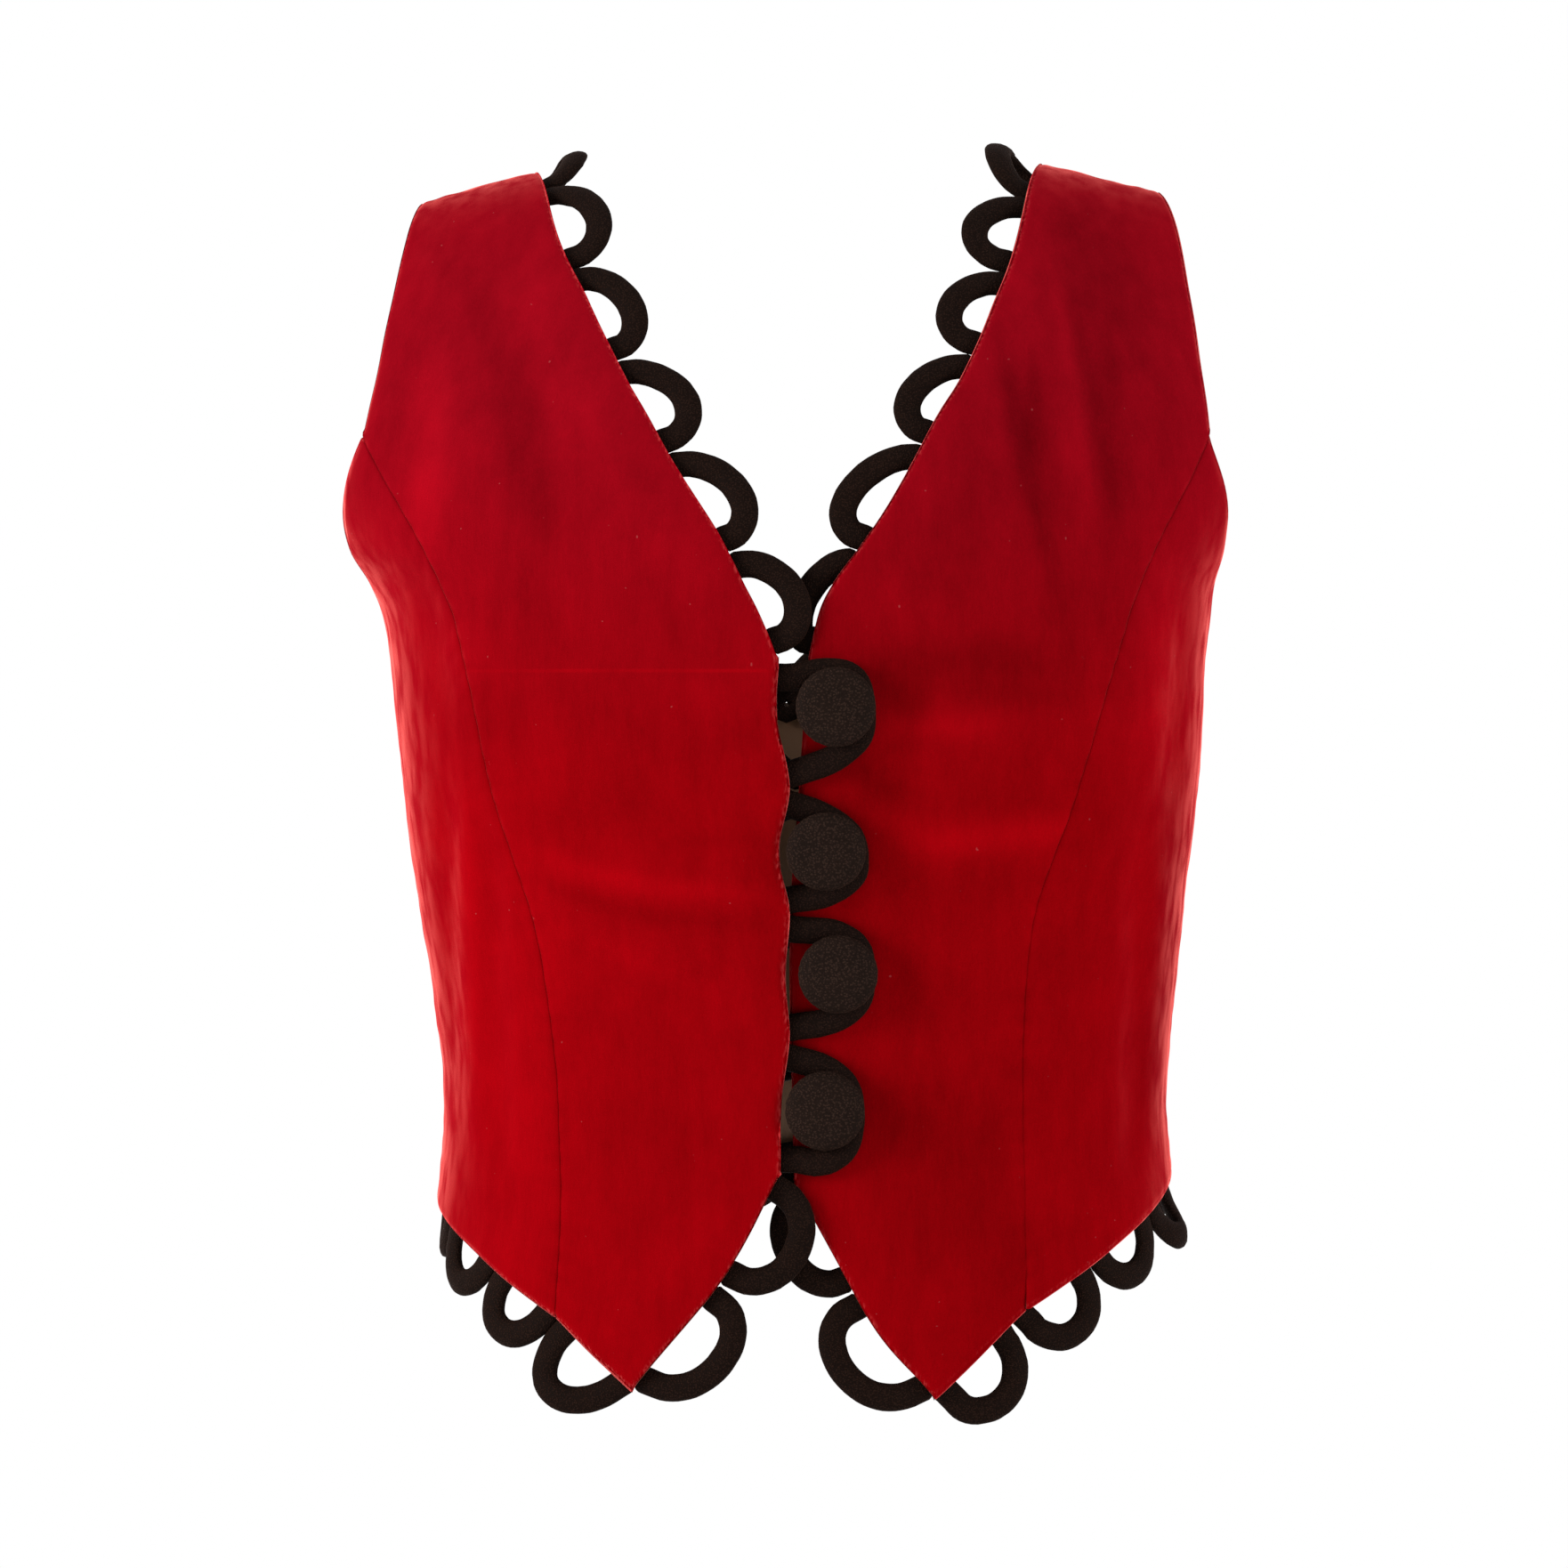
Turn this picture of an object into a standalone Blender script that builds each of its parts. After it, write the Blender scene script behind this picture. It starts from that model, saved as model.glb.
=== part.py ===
"""A fitted velvet vest in its worn, hollow form, in metres.

+Z is up, the front faces -Y, and the origin lies between the shoulders at neck height. The cloth follows
one body form, given as rings from the shoulder ridge down. Each panel is a patch on that form between its
own edge lines, with a wall of even thickness. A padded loop trim runs along the open edges, and four
covered buttons close the front. "Right" and "left" are the wearer's, so the right side is at -X.
"""

import math
from collections import namedtuple

import bmesh
import bpy
from mathutils import Matrix, Vector

# Cloth and seams
WALL = 0.002
SEAM_GAP = 0.0003

# The body form, one row for each ring: height, sideways centre, half width, depth to front and to back
Ring = namedtuple("Ring", "height centre_x half_width front_depth back_depth")
RINGS = (
    Ring(0.000, 0.0000, 0.1720, 0.0000, 0.0000),
    Ring(-0.004, 0.0000, 0.1725, 0.0200, 0.0200),
    Ring(-0.014, 0.0000, 0.1740, 0.0380, 0.0380),
    Ring(-0.032, 0.0000, 0.1765, 0.0560, 0.0550),
    Ring(-0.058, 0.0000, 0.1800, 0.0760, 0.0710),
    Ring(-0.085, 0.0005, 0.1835, 0.0915, 0.0825),
    Ring(-0.110, -0.0004, 0.1862, 0.1022, 0.0888),
    Ring(-0.130, -0.0004, 0.1844, 0.1085, 0.0920),
    Ring(-0.146, 0.0004, 0.1773, 0.1120, 0.0940),
    Ring(-0.160, 0.0022, 0.1680, 0.1142, 0.0955),
    Ring(-0.176, 0.0042, 0.1627, 0.1158, 0.0962),
    Ring(-0.200, 0.0046, 0.1603, 0.1165, 0.0955),
    Ring(-0.235, 0.0056, 0.1575, 0.1135, 0.0915),
    Ring(-0.280, 0.0060, 0.1520, 0.1050, 0.0840),
    Ring(-0.325, 0.0070, 0.1460, 0.0970, 0.0780),
    Ring(-0.362, 0.0072, 0.1430, 0.0930, 0.0770),
    Ring(-0.400, 0.0078, 0.1460, 0.0945, 0.0830),
    Ring(-0.440, 0.0082, 0.1510, 0.0965, 0.0890),
    Ring(-0.500, 0.0090, 0.1580, 0.0990, 0.0960),
)
RING_SQUARENESS = 2.3
SHOULDER_SLOPE = 0.27
SHOULDER_LEVEL_X = 0.1235
SHOULDER_TILT = 0.0175
SHOULDER_ZONE = 0.090

# Front panels, one row for each station from the shoulder to the hem point: the open edge, the curved
# seam, and the grid rows to the next station. Heights are ring heights, before the shoulder's slope.
Station = namedtuple("Station", "edge_x edge_height seam_x seam_height rows")
FRONT_RIGHT = (
    Station(-0.1000, 0.000, -0.1440, 0.000, 4),
    Station(-0.0905, -0.026, -0.1515, -0.022, 2),
    Station(-0.0765, -0.055, -0.1563, -0.053, 2),
    Station(-0.0623, -0.081, -0.1604, -0.079, 2),
    Station(-0.0487, -0.105, -0.1651, -0.1026, 2),
    Station(-0.0282, -0.139, -0.1454, -0.138, 2),
    Station(-0.0146, -0.165, -0.1326, -0.164, 2),
    Station(-0.0037, -0.190, -0.1249, -0.189, 3),
    Station(0.0007, -0.238, -0.1147, -0.238, 4),
    Station(0.0007, -0.287, -0.0987, -0.288, 4),
    Station(0.0007, -0.335, -0.0905, -0.3355, 4),
    Station(-0.0024, -0.3875, -0.0872, -0.388, 3),
    Station(-0.0256, -0.430, -0.0875, -0.415, 3),
    Station(-0.0598, -0.471, -0.0895, -0.4435, 0),
)
FRONT_LEFT = (
    Station(0.1015, 0.000, 0.1470, 0.000, 4),
    Station(0.0915, -0.028, 0.1547, -0.020, 2),
    Station(0.0795, -0.058, 0.1588, -0.050, 2),
    Station(0.0678, -0.081, 0.1625, -0.079, 2),
    Station(0.0545, -0.103, 0.1655, -0.1015, 2),
    Station(0.0336, -0.139, 0.1471, -0.138, 2),
    Station(0.0156, -0.165, 0.1356, -0.164, 2),
    Station(0.0085, -0.189, 0.1278, -0.189, 3),
    Station(0.0048, -0.239, 0.1125, -0.239, 4),
    Station(0.0014, -0.287, 0.0957, -0.288, 4),
    Station(0.0014, -0.335, 0.0911, -0.335, 4),
    Station(0.0034, -0.392, 0.0917, -0.391, 3),
    Station(0.0304, -0.441, 0.0920, -0.416, 3),
    Station(0.0570, -0.4737, 0.0928, -0.4400, 0),
)
PRINCESS_TOP, V_BOTTOM, LOWER_CORNER = 4, 7, 11
EDGE_KINKS = (V_BOTTOM, LOWER_CORNER)
SEAM_KINKS = (PRINCESS_TOP,)
FRONT_COLUMNS = 8
# How far the front edge draws in between the loops' roots, from the top loop down
EDGE_SCALLOPS = (0.0027, 0.0042, 0.0017, 0.0014)

# Side fronts
UNDERARM_HEIGHT = -0.174
SIDE_HEM_RIGHT = -0.4015
SIDE_HEM_LEFT = -0.389
ARMHOLE_SCOOP = 0.0103
HEM_RAISE = 0.0062
SIDE_COLUMNS = 5

# Back, from the shoulder to the hem: its V neck and centre line, and its armhole and side seam
BackStation = namedtuple("BackStation", "neck_x neck_height side_angle side_height rows")
BACK = (
    BackStation(0.1008, 0.000, 124.0, 0.000, 5),
    BackStation(0.1130, -0.033, 123.0, -0.034, 2),
    BackStation(0.1060, -0.062, 121.5, -0.070, 2),
    BackStation(0.0840, -0.100, 119.0, -0.110, 2),
    BackStation(0.0600, -0.135, 114.0, -0.140, 2),
    BackStation(0.0330, -0.178, 103.0, -0.165, 2),
    BackStation(0.0000, -0.206, 90.0, -0.174, 2),
    BackStation(0.0000, -0.255, 90.0, -0.220, 2),
    BackStation(0.0000, -0.300, 90.0, -0.275, 2),
    BackStation(0.0000, -0.336, 90.0, -0.330, 2),
    BackStation(0.0000, -0.366, 90.0, -0.370, 2),
    BackStation(0.0000, -0.3895, 90.0, -0.400, 0),
)
BACK_V_BOTTOM = 6
BACK_KINKS = (BACK_V_BOTTOM,)
BACK_COLUMNS = 8

# The front edges overlap in layers: the right one is lifted, the left one lies deeper
LAP_RIGHT_LIFT = 0.005
LAP_LEFT_LIFT = -0.0033
LAP_RIGHT_FLAT, LAP_RIGHT_END = 0.009, 0.036
LAP_LEFT_FLAT, LAP_LEFT_END = 0.036, 0.062
LAP_STARTS, LAP_FULL = -0.115, -0.152
LAP_FADES, LAP_ENDS = -0.432, -0.468

# Largest folds, each a soft trough or ridge along a line seen from the front or the back
Fold = namedtuple("Fold", "x0 z0 x1 z1 half_width depth")
FRONT_FOLDS = (
    Fold(-0.138, -0.050, -0.138, -0.112, 0.008, -0.0016),
    Fold(-0.100, -0.066, -0.092, -0.122, 0.009, -0.0017),
    Fold(-0.096, -0.276, -0.022, -0.281, 0.009, 0.0018),
    Fold(-0.098, -0.254, -0.030, -0.257, 0.010, -0.0013),
    Fold(-0.092, -0.301, -0.026, -0.322, 0.011, -0.0015),
    Fold(0.093, -0.079, 0.105, -0.143, 0.009, -0.0036),
    Fold(0.119, -0.062, 0.130, -0.140, 0.011, -0.0030),
    Fold(0.106, -0.084, 0.112, -0.128, 0.006, 0.0014),
    Fold(0.040, -0.217, 0.098, -0.216, 0.010, 0.0013),
    Fold(0.044, -0.264, 0.094, -0.254, 0.010, 0.0013),
)
BACK_FOLDS = (
    Fold(-0.085, -0.292, -0.020, -0.300, 0.011, -0.0017),
    Fold(0.020, -0.312, 0.088, -0.298, 0.011, -0.0015),
    Fold(-0.060, -0.262, 0.030, -0.268, 0.010, 0.0012),
    Fold(-0.112, -0.085, -0.104, -0.140, 0.009, -0.0020),
    Fold(0.116, -0.090, 0.106, -0.148, 0.009, -0.0022),
)
FOLD_END_FADE = 0.018

# Padded loop trim. A loop takes its share of a stretch of edge; its top lies at its reach out from the
# edge, moved by its lean along the edge and raised off the cloth by its rise.
TUBE_WIDTH = 0.0106
TUBE_THICKNESS = 0.0054
TUBE_SIDES = 6
TRIM_GAP = 0.0008
LEG_GAP = 0.0005
TURN_DEPTH = 0.0046
TURN_DROP = 0.0010
TURN_SQUEEZE = 0.62
TURN_SLANT = 0.7
# An edge's direction is taken over a step that grows with the distance out from it
EDGE_STEP = 0.002
EDGE_STEP_GROWTH = 0.6
ARCH_STEPS = 8
PATH_STEPS = 60
SHOULDER_HALF_RIGHT = 0.023
SHOULDER_HALF_LEFT = 0.037
SIDE_LOOP = 0.0445
SIDE_GAP = 0.0015
Shape = namedtuple("Shape", "share reach lean roundness rise")
SHOULDER_SHAPE = Shape(1.0, 0.0225, 0.0, 1.0, 0.006)
NECK_SHAPES_RIGHT = (
    Shape(0.0518, 0.0220, 0.0044, 1.0, 0.0),
    Shape(0.0482, 0.0196, 0.0040, 1.0, 0.0),
    Shape(0.0458, 0.0216, 0.0044, 1.0, 0.0),
    Shape(0.0491, 0.0206, 0.0042, 1.0, 0.0),
    Shape(0.0442, 0.0205, 0.0030, 1.0, 0.0),
)
NECK_SHAPES_LEFT = (
    Shape(0.0418, 0.0220, 0.0044, 1.0, 0.0),
    Shape(0.0419, 0.0204, 0.0044, 1.0, 0.0),
    Shape(0.0447, 0.0190, 0.0044, 1.0, 0.0),
    Shape(0.0502, 0.0204, 0.0074, 1.0, 0.0),
    Shape(0.0455, 0.0125, 0.0050, 1.0, 0.0),
)
NECK_END_GAP = 0.001
CLOSING_START_GAP = 0.002
BUTTON_LOOP_SHAPES = (
    Shape(1.0, 0.0380, -0.0045, 0.76, 0.0),
    Shape(1.0, 0.0345, 0.0020, 0.86, 0.0),
    Shape(1.0, 0.0350, -0.0015, 0.76, 0.0),
    Shape(1.0, 0.0323, 0.0020, 0.76, 0.0),
)
HIDDEN_SHAPES = (Shape(1.0, 0.0205, 0.0, 1.0, 0.0),) * 4
POINT_SHAPES_RIGHT = (
    Shape(0.0475, 0.0240, 0.0, 0.93, 0.0),
    Shape(0.0527, 0.0245, -0.0030, 0.93, 0.0),
)
HEM_SHAPES_RIGHT = (
    Shape(0.0424, 0.0284, 0.0045, 0.93, 0.0),
    Shape(0.0373, 0.0240, 0.0025, 0.93, 0.0),
    Shape(0.0419, 0.0225, 0.0010, 0.93, 0.0),
    Shape(0.0271, 0.0200, 0.0, 0.93, 0.0),
)
POINT_SHAPES_LEFT = (
    Shape(0.0475, 0.0200, 0.0, 0.93, 0.0),
    Shape(0.0527, 0.0245, -0.0030, 0.93, 0.0),
)
HEM_SHAPES_LEFT = (
    Shape(1.0, 0.0250, -0.0010, 0.93, 0.0),
    Shape(1.0, 0.0245, 0.0015, 0.93, 0.0),
    Shape(1.0, 0.0225, 0.0010, 0.93, 0.0),
)
BACK_NECK_SHAPES = (
    Shape(1.0, 0.0130, 0.0, 1.0, 0.0),
    Shape(1.0, 0.0165, 0.0, 1.0, 0.0),
    Shape(1.0, 0.0180, 0.0, 1.0, 0.0),
    Shape(1.0, 0.0170, 0.0, 1.0, 0.0),
    Shape(1.0, 0.0128, 0.0, 1.0, 0.0),
)
BACK_HEM_SHAPES = (
    Shape(1.1, 0.0260, 0.0, 0.93, 0.006),
    *(Shape(1.1, 0.0208, 0.0, 0.93, 0.0),) * 4,
    *(Shape(1.0, 0.0208, 0.0, 0.93, 0.0),) * 6,
)

# Buttons, from the top: places on the left front seen from the front, and one turned profile
Button = namedtuple("Button", "x z")
BUTTONS = (
    Button(0.0185, -0.2084),
    Button(0.0149, -0.2626),
    Button(0.0195, -0.3097),
    Button(0.0146, -0.3630),
)
BUTTON_RADIUS = 0.015
SHANK_RADIUS = 0.003
BUTTON_SEAT = 0.0003
BUTTON_UNDERSIDE = 0.0065
BUTTON_HEIGHT = 0.0072
BUTTON_STEPS = 20
# The dome's outline as shares of the button's radius and height, from its underside to its top
BUTTON_DOME = ((0.80, 0.0), (1.0, 0.24), (1.0, 0.46), (0.85, 0.76), (0.50, 0.94), (0.0, 1.0))

VELVET = ((0.40, 0.004, 0.012, 1.0), 0.85)
TRIM_CLOTH = ((0.016, 0.011, 0.009, 1.0), 0.8)

RIGHT, LEFT = -1, 1


def smooth(start, end, value):
    """0 before start, 1 after end, with a soft step between them."""
    f = min(1.0, max(0.0, (value - start) / (end - start)))
    return f * f * (3.0 - 2.0 * f)


def mix(a, b, f):
    return a + (b - a) * f


def cubic(p0, p1, p2, p3, f):
    """A smooth curve from p1 to p2."""
    return 0.5 * (
        2.0 * p1
        + (p2 - p0) * f
        + (2.0 * p0 - 5.0 * p1 + 4.0 * p2 - p3) * f * f
        + (3.0 * p1 - p0 - 3.0 * p2 + p3) * f * f * f
    )


def along(values, place, kinks=()):
    """A smooth curve through values, broken at the kinks; place counts from 0 at the first value."""
    last = len(values) - 1
    i = max(0, min(last - 1, math.floor(place)))
    p1, p2 = values[i], values[i + 1]
    p0 = 2.0 * p1 - p2 if i == 0 or i in kinks else values[i - 1]
    p3 = 2.0 * p2 - p1 if i + 1 == last or i + 1 in kinks else values[i + 2]
    return cubic(p0, p1, p2, p3, place - i)


def ring_value(name, level):
    """One column of the body form at a level, where level 0 is the shoulder ridge."""
    mirrored = -1.0 if name.endswith("depth") else 1.0
    column = [getattr(ring, name) for ring in RINGS]
    column.insert(0, mirrored * column[1])
    return along(column, level + 1.0)


def level_at(height):
    """The level whose ring lies at a height; the shoulder ridge itself is left half a seam gap clear."""
    ridge = 0.5 * SEAM_GAP / RINGS[1].front_depth
    low, high = ridge, len(RINGS) - 1.0
    for _ in range(50):
        middle = 0.5 * (low + high)
        if ring_value("height", middle) > height:
            low = middle
        else:
            high = middle
    return 0.5 * (low + high)


def signed_power(value, exponent):
    return math.copysign(abs(value) ** exponent, value)


def body_point(angle, level):
    """A point of the body form: angle 0 is the front's middle, +90 degrees the wearer's left side."""
    cosine = math.cos(angle)
    depth = ring_value("front_depth" if cosine > 0.0 else "back_depth", level)
    height = ring_value("height", level)
    x = ring_value("half_width", level) * signed_power(math.sin(angle), 2.0 / RING_SQUARENESS)
    y = -depth * signed_power(cosine, 2.0 / RING_SQUARENESS)
    near_ridge = smooth(-SHOULDER_ZONE, 0.0, height)
    rise = SHOULDER_TILT * x - SHOULDER_SLOPE * (abs(x) - SHOULDER_LEVEL_X)
    return Vector((x + ring_value("centre_x", level), y, height + rise * near_ridge))


def body_normal(angle, level):
    """The outward normal there."""
    step = 0.01
    across = body_point(angle + step, level) - body_point(angle - step, level)
    down = body_point(angle, level + step) - body_point(angle, level - step)
    return down.cross(across).normalized()


def angle_at(x, level):
    """The front angle whose point has this x."""
    share = (x - ring_value("centre_x", level)) / ring_value("half_width", level)
    share = max(-1.0, min(1.0, share))
    return math.asin(signed_power(share, RING_SQUARENESS / 2.0))


def fold_height(folds, point):
    """How far the folds raise the cloth at a point."""
    total = 0.0
    for fold in folds:
        start = Vector((fold.x0, fold.z0))
        run = Vector((fold.x1, fold.z1)) - start
        offset = Vector((point.x, point.z)) - start
        length = run.length
        place = offset.dot(run) / length
        side = abs(offset.x * run.y - offset.y * run.x) / length
        ends = smooth(-FOLD_END_FADE, FOLD_END_FADE, place)
        ends *= 1.0 - smooth(length - FOLD_END_FADE, length + FOLD_END_FADE, place)
        total += fold.depth * ends * math.exp(-((side / fold.half_width) ** 2))
    return total


def lap_lift(side, distance, height):
    """How far the front edge stands off the body form, at a distance from that edge."""
    if side == RIGHT:
        lift, flat, end = LAP_RIGHT_LIFT, LAP_RIGHT_FLAT, LAP_RIGHT_END
    else:
        lift, flat, end = LAP_LEFT_LIFT, LAP_LEFT_FLAT, LAP_LEFT_END
    lift *= 1.0 - smooth(flat, end, distance)
    return lift * smooth(-LAP_STARTS, -LAP_FULL, -height) * (1.0 - smooth(-LAP_FADES, -LAP_ENDS, -height))


def with_clearance(share, width, first=True, last=True):
    """A place across a panel, kept half a seam gap inside the lines that it is sewn along."""
    gap = 0.5 * SEAM_GAP / width
    low = gap if first else 0.0
    high = 1.0 - gap if last else 1.0
    return mix(low, high, share)


class Front:
    """A front panel between its open edge (share 0) and its armhole and curved seam (share 1)."""

    def __init__(self, side):
        self.side = side
        self.stations = FRONT_RIGHT if side == RIGHT else FRONT_LEFT
        self.edge_x = [row.edge_x for row in self.stations]
        self.edge_level = [level_at(row.edge_height) for row in self.stations]
        self.seam_x = [row.seam_x for row in self.stations]
        self.seam_level = [level_at(row.seam_height) for row in self.stations]
        self.places = grid_places(self.stations)
        self.last = len(self.stations) - 1.0

    def edge(self, place):
        level = along(self.edge_level, place, EDGE_KINKS)
        x = along(self.edge_x, place, EDGE_KINKS)
        loop = math.floor(place) - V_BOTTOM
        if self.side == RIGHT and 0 <= loop < len(EDGE_SCALLOPS):
            x -= EDGE_SCALLOPS[loop] * math.sin(math.pi * place) ** 2
        return angle_at(x, level), level

    def seam(self, place):
        level = along(self.seam_level, place, SEAM_KINKS)
        return angle_at(along(self.seam_x, place, SEAM_KINKS), level), level

    def frame(self, share, place):
        """The outer surface's point and normal."""
        edge_angle, edge_level = self.edge(place)
        seam_angle, seam_level = self.seam(place)
        edge_point = body_point(edge_angle, edge_level)
        width = (body_point(seam_angle, seam_level) - edge_point).length
        share = with_clearance(share, width, first=False)
        angle = mix(edge_angle, seam_angle, share)
        level = mix(edge_level, seam_level, share)
        point = body_point(angle, level)
        lift = lap_lift(self.side, (point - edge_point).length, point.z)
        normal = body_normal(angle, level)
        return point + normal * (lift + fold_height(FRONT_FOLDS, point)), normal


class SideFront:
    """A side front between the curved seam (share 0) and the side seam (share 1), from the armhole down."""

    def __init__(self, side):
        self.side = side
        self.front = Front(side)
        self.places = [place for place in self.front.places if place >= PRINCESS_TOP]
        self.last = self.front.last
        self.hem_height = SIDE_HEM_RIGHT if side == RIGHT else SIDE_HEM_LEFT

    def frame(self, share, place):
        top_height = self.front.stations[PRINCESS_TOP].seam_height
        bottom_height = self.front.stations[-1].seam_height
        angle, level = self.front.seam(place)
        height = ring_value("height", level)
        down = (height - top_height) / (bottom_height - top_height)
        side_height = mix(UNDERARM_HEIGHT, self.hem_height, down)
        seam_point = body_point(angle, level)
        side_angle = self.side * 0.5 * math.pi
        width = (body_point(side_angle, level_at(side_height)) - seam_point).length
        share = with_clearance(share, width)
        scoop = ARMHOLE_SCOOP * math.sin(math.pi * share**0.8) * (1.0 - down) ** 2
        scoop -= HEM_RAISE * math.sin(math.pi * share) * down**3
        level = level_at(mix(height, side_height, share) - scoop)
        angle = mix(angle, side_angle, share)
        point = body_point(angle, level)
        normal = body_normal(angle, level)
        return point + normal * fold_height(FRONT_FOLDS, point), normal


class Back:
    """The back: share 0 is its V neck and middle, share 1 its armhole and side seam, on either side."""

    def __init__(self):
        self.neck_level = [level_at(row.neck_height) for row in BACK]
        self.neck_x = [row.neck_x for row in BACK]
        self.side_angle = [math.radians(row.side_angle) for row in BACK]
        self.side_height = [row.side_height for row in BACK]
        self.places = grid_places(BACK)
        self.last = len(BACK) - 1.0

    def neck(self, place, side):
        level = along(self.neck_level, place, BACK_KINKS)
        x = max(0.0, along(self.neck_x, place, BACK_KINKS))
        centre = ring_value("centre_x", level) * smooth(0.0, BACK_V_BOTTOM, BACK_V_BOTTOM - place)
        return math.pi - abs(angle_at(side * x + centre, level)), level

    def frame(self, share, place, side):
        neck_angle, neck_level = self.neck(place, side)
        side_angle = along(self.side_angle, place, BACK_KINKS)
        hem_height = SIDE_HEM_RIGHT if side == RIGHT else SIDE_HEM_LEFT
        down = smooth(BACK_V_BOTTOM, self.last, place)
        side_height = along(self.side_height, place, BACK_KINKS)
        side_height += down * (hem_height - self.side_height[-1])
        side_level = level_at(side_height)
        neck_point = body_point(side * neck_angle, neck_level)
        width = (body_point(side * side_angle, side_level) - neck_point).length
        share = with_clearance(share, width, first=False, last=place >= BACK_V_BOTTOM)
        level = mix(neck_level, side_level, share ** (1.0 + down))
        angle = side * mix(neck_angle, side_angle, share)
        point = body_point(angle, level)
        normal = body_normal(angle, level)
        return point + normal * fold_height(BACK_FOLDS, point), normal


def grid_places(stations):
    """Where the grid rows lie, counted in stations."""
    places = [i + k / row.rows for i, row in enumerate(stations) for k in range(row.rows)]
    return places + [len(stations) - 1.0]


def make_material(name, look):
    colour, roughness = look
    material = bpy.data.materials.new(name)
    material.use_nodes = True
    shader = material.node_tree.nodes["Principled BSDF"]
    shader.inputs["Base Color"].default_value = colour
    shader.inputs["Roughness"].default_value = roughness
    shader.inputs["Metallic"].default_value = 0.0
    material.diffuse_color = colour
    return material


def add_object(name, bm, look):
    """A named object with its own material, shaded smooth but for its sharp rims."""
    bmesh.ops.recalc_face_normals(bm, faces=bm.faces)
    if bm.calc_volume(signed=True) < 0.0:
        bmesh.ops.reverse_faces(bm, faces=bm.faces)
    mesh = bpy.data.meshes.new(name)
    bm.to_mesh(mesh)
    bm.free()
    mesh.materials.append(make_material(name, look))
    mesh.shade_smooth()
    mesh.set_sharp_from_angle(angle=math.radians(50))
    piece = bpy.data.objects.new(name, mesh)
    bpy.context.scene.collection.objects.link(piece)
    return piece


def thicken(bm):
    """Makes the flat pattern a slab: the copy one unit below becomes the cloth's inside."""
    result = bmesh.ops.extrude_face_region(bm, geom=bm.faces[:], use_keep_orig=True)
    copies = [item for item in result["geom"] if isinstance(item, bmesh.types.BMVert)]
    bmesh.ops.translate(bm, verts=copies, vec=(0.0, 0.0, -1.0))


def add_panel(name, panel, columns):
    """A panel from a flat grid: x is the share across, y the grid row, z the depth in the wall."""
    rows = len(panel.places) - 1
    bm = bmesh.new()
    bmesh.ops.create_grid(bm, x_segments=columns, y_segments=rows, size=0.5)
    thicken(bm)
    for vert in bm.verts:
        place = panel.places[round((vert.co.y + 0.5) * rows)]
        point, normal = panel.frame(vert.co.x + 0.5, place)
        vert.co = point + normal * (WALL * vert.co.z)
    return add_object(name, bm, VELVET)


def add_back(name, back, columns):
    """The back from one flat grid of both halves, slit down its middle to the bottom of the V."""
    rows = len(back.places) - 1
    slit_rows = back.places.index(float(BACK_V_BOTTOM))
    bm = bmesh.new()
    bmesh.ops.create_grid(bm, x_segments=2 * columns, y_segments=rows, size=1.0)
    slit_end = slit_rows * 2.0 / rows - 1.0
    tiny = 1e-4
    slit = [
        edge
        for edge in bm.edges
        if all(abs(v.co.x) < tiny and v.co.y < slit_end + tiny for v in edge.verts)
    ]
    bmesh.ops.split_edges(bm, edges=slit)
    thicken(bm)
    moves = []
    for vert in bm.verts:
        side = LEFT if sum(face.calc_center_median().x for face in vert.link_faces) > 0.0 else RIGHT
        place = back.places[round((vert.co.y + 1.0) * 0.5 * rows)]
        point, normal = back.frame(abs(vert.co.x), place, side)
        moves.append((vert, point + normal * (WALL * vert.co.z)))
    for vert, point in moves:
        vert.co = point
    return add_object(name, bm, VELVET)


class EdgePath:
    """A line along open edges, read by its length from the start, with named marks on the way."""

    def __init__(self, outward):
        self.outward = outward
        self.points = []
        self.normals = []
        self.lengths = []
        self.marks = {}

    def add(self, frame_at, mark):
        """Adds a stretch, from frame_at(0) to frame_at(1), and marks its end."""
        for step in range(PATH_STEPS + 1):
            point, normal = frame_at(step / PATH_STEPS)
            if self.points:
                gap = (point - self.points[-1]).length
                if gap < 0.5 * SEAM_GAP:
                    continue
                self.lengths.append(self.lengths[-1] + gap)
            else:
                self.lengths.append(0.0)
            self.points.append(point)
            self.normals.append(normal)
        self.marks[mark] = self.lengths[-1]

    def read(self, values, length):
        last = len(self.lengths) - 1
        i = 0
        while i < last - 1 and self.lengths[i + 1] < length:
            i += 1
        f = (length - self.lengths[i]) / (self.lengths[i + 1] - self.lengths[i])
        return values[i].lerp(values[i + 1], f)

    def frame(self, length, out):
        """The point, the direction out of the cloth's edge, and the surface normal."""
        step = EDGE_STEP + EDGE_STEP_GROWTH * max(0.0, out)
        normal = self.read(self.normals, length).normalized()
        ahead = self.read(self.points, length + step) - self.read(self.points, length - step)
        tangent = (ahead - normal * ahead.dot(normal)).normalized()
        return self.read(self.points, length), self.outward * normal.cross(tangent), normal


Loop = namedtuple("Loop", "start end shape")


def spaced(start, end, shapes):
    """The loops between two places on an edge, one for each shape."""
    total = sum(shape.share for shape in shapes)
    loops = []
    for shape in shapes:
        stop = start + (end - start) * shape.share / total
        total -= shape.share
        loops.append(Loop(start, stop, shape))
        start = stop
    return loops


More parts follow.
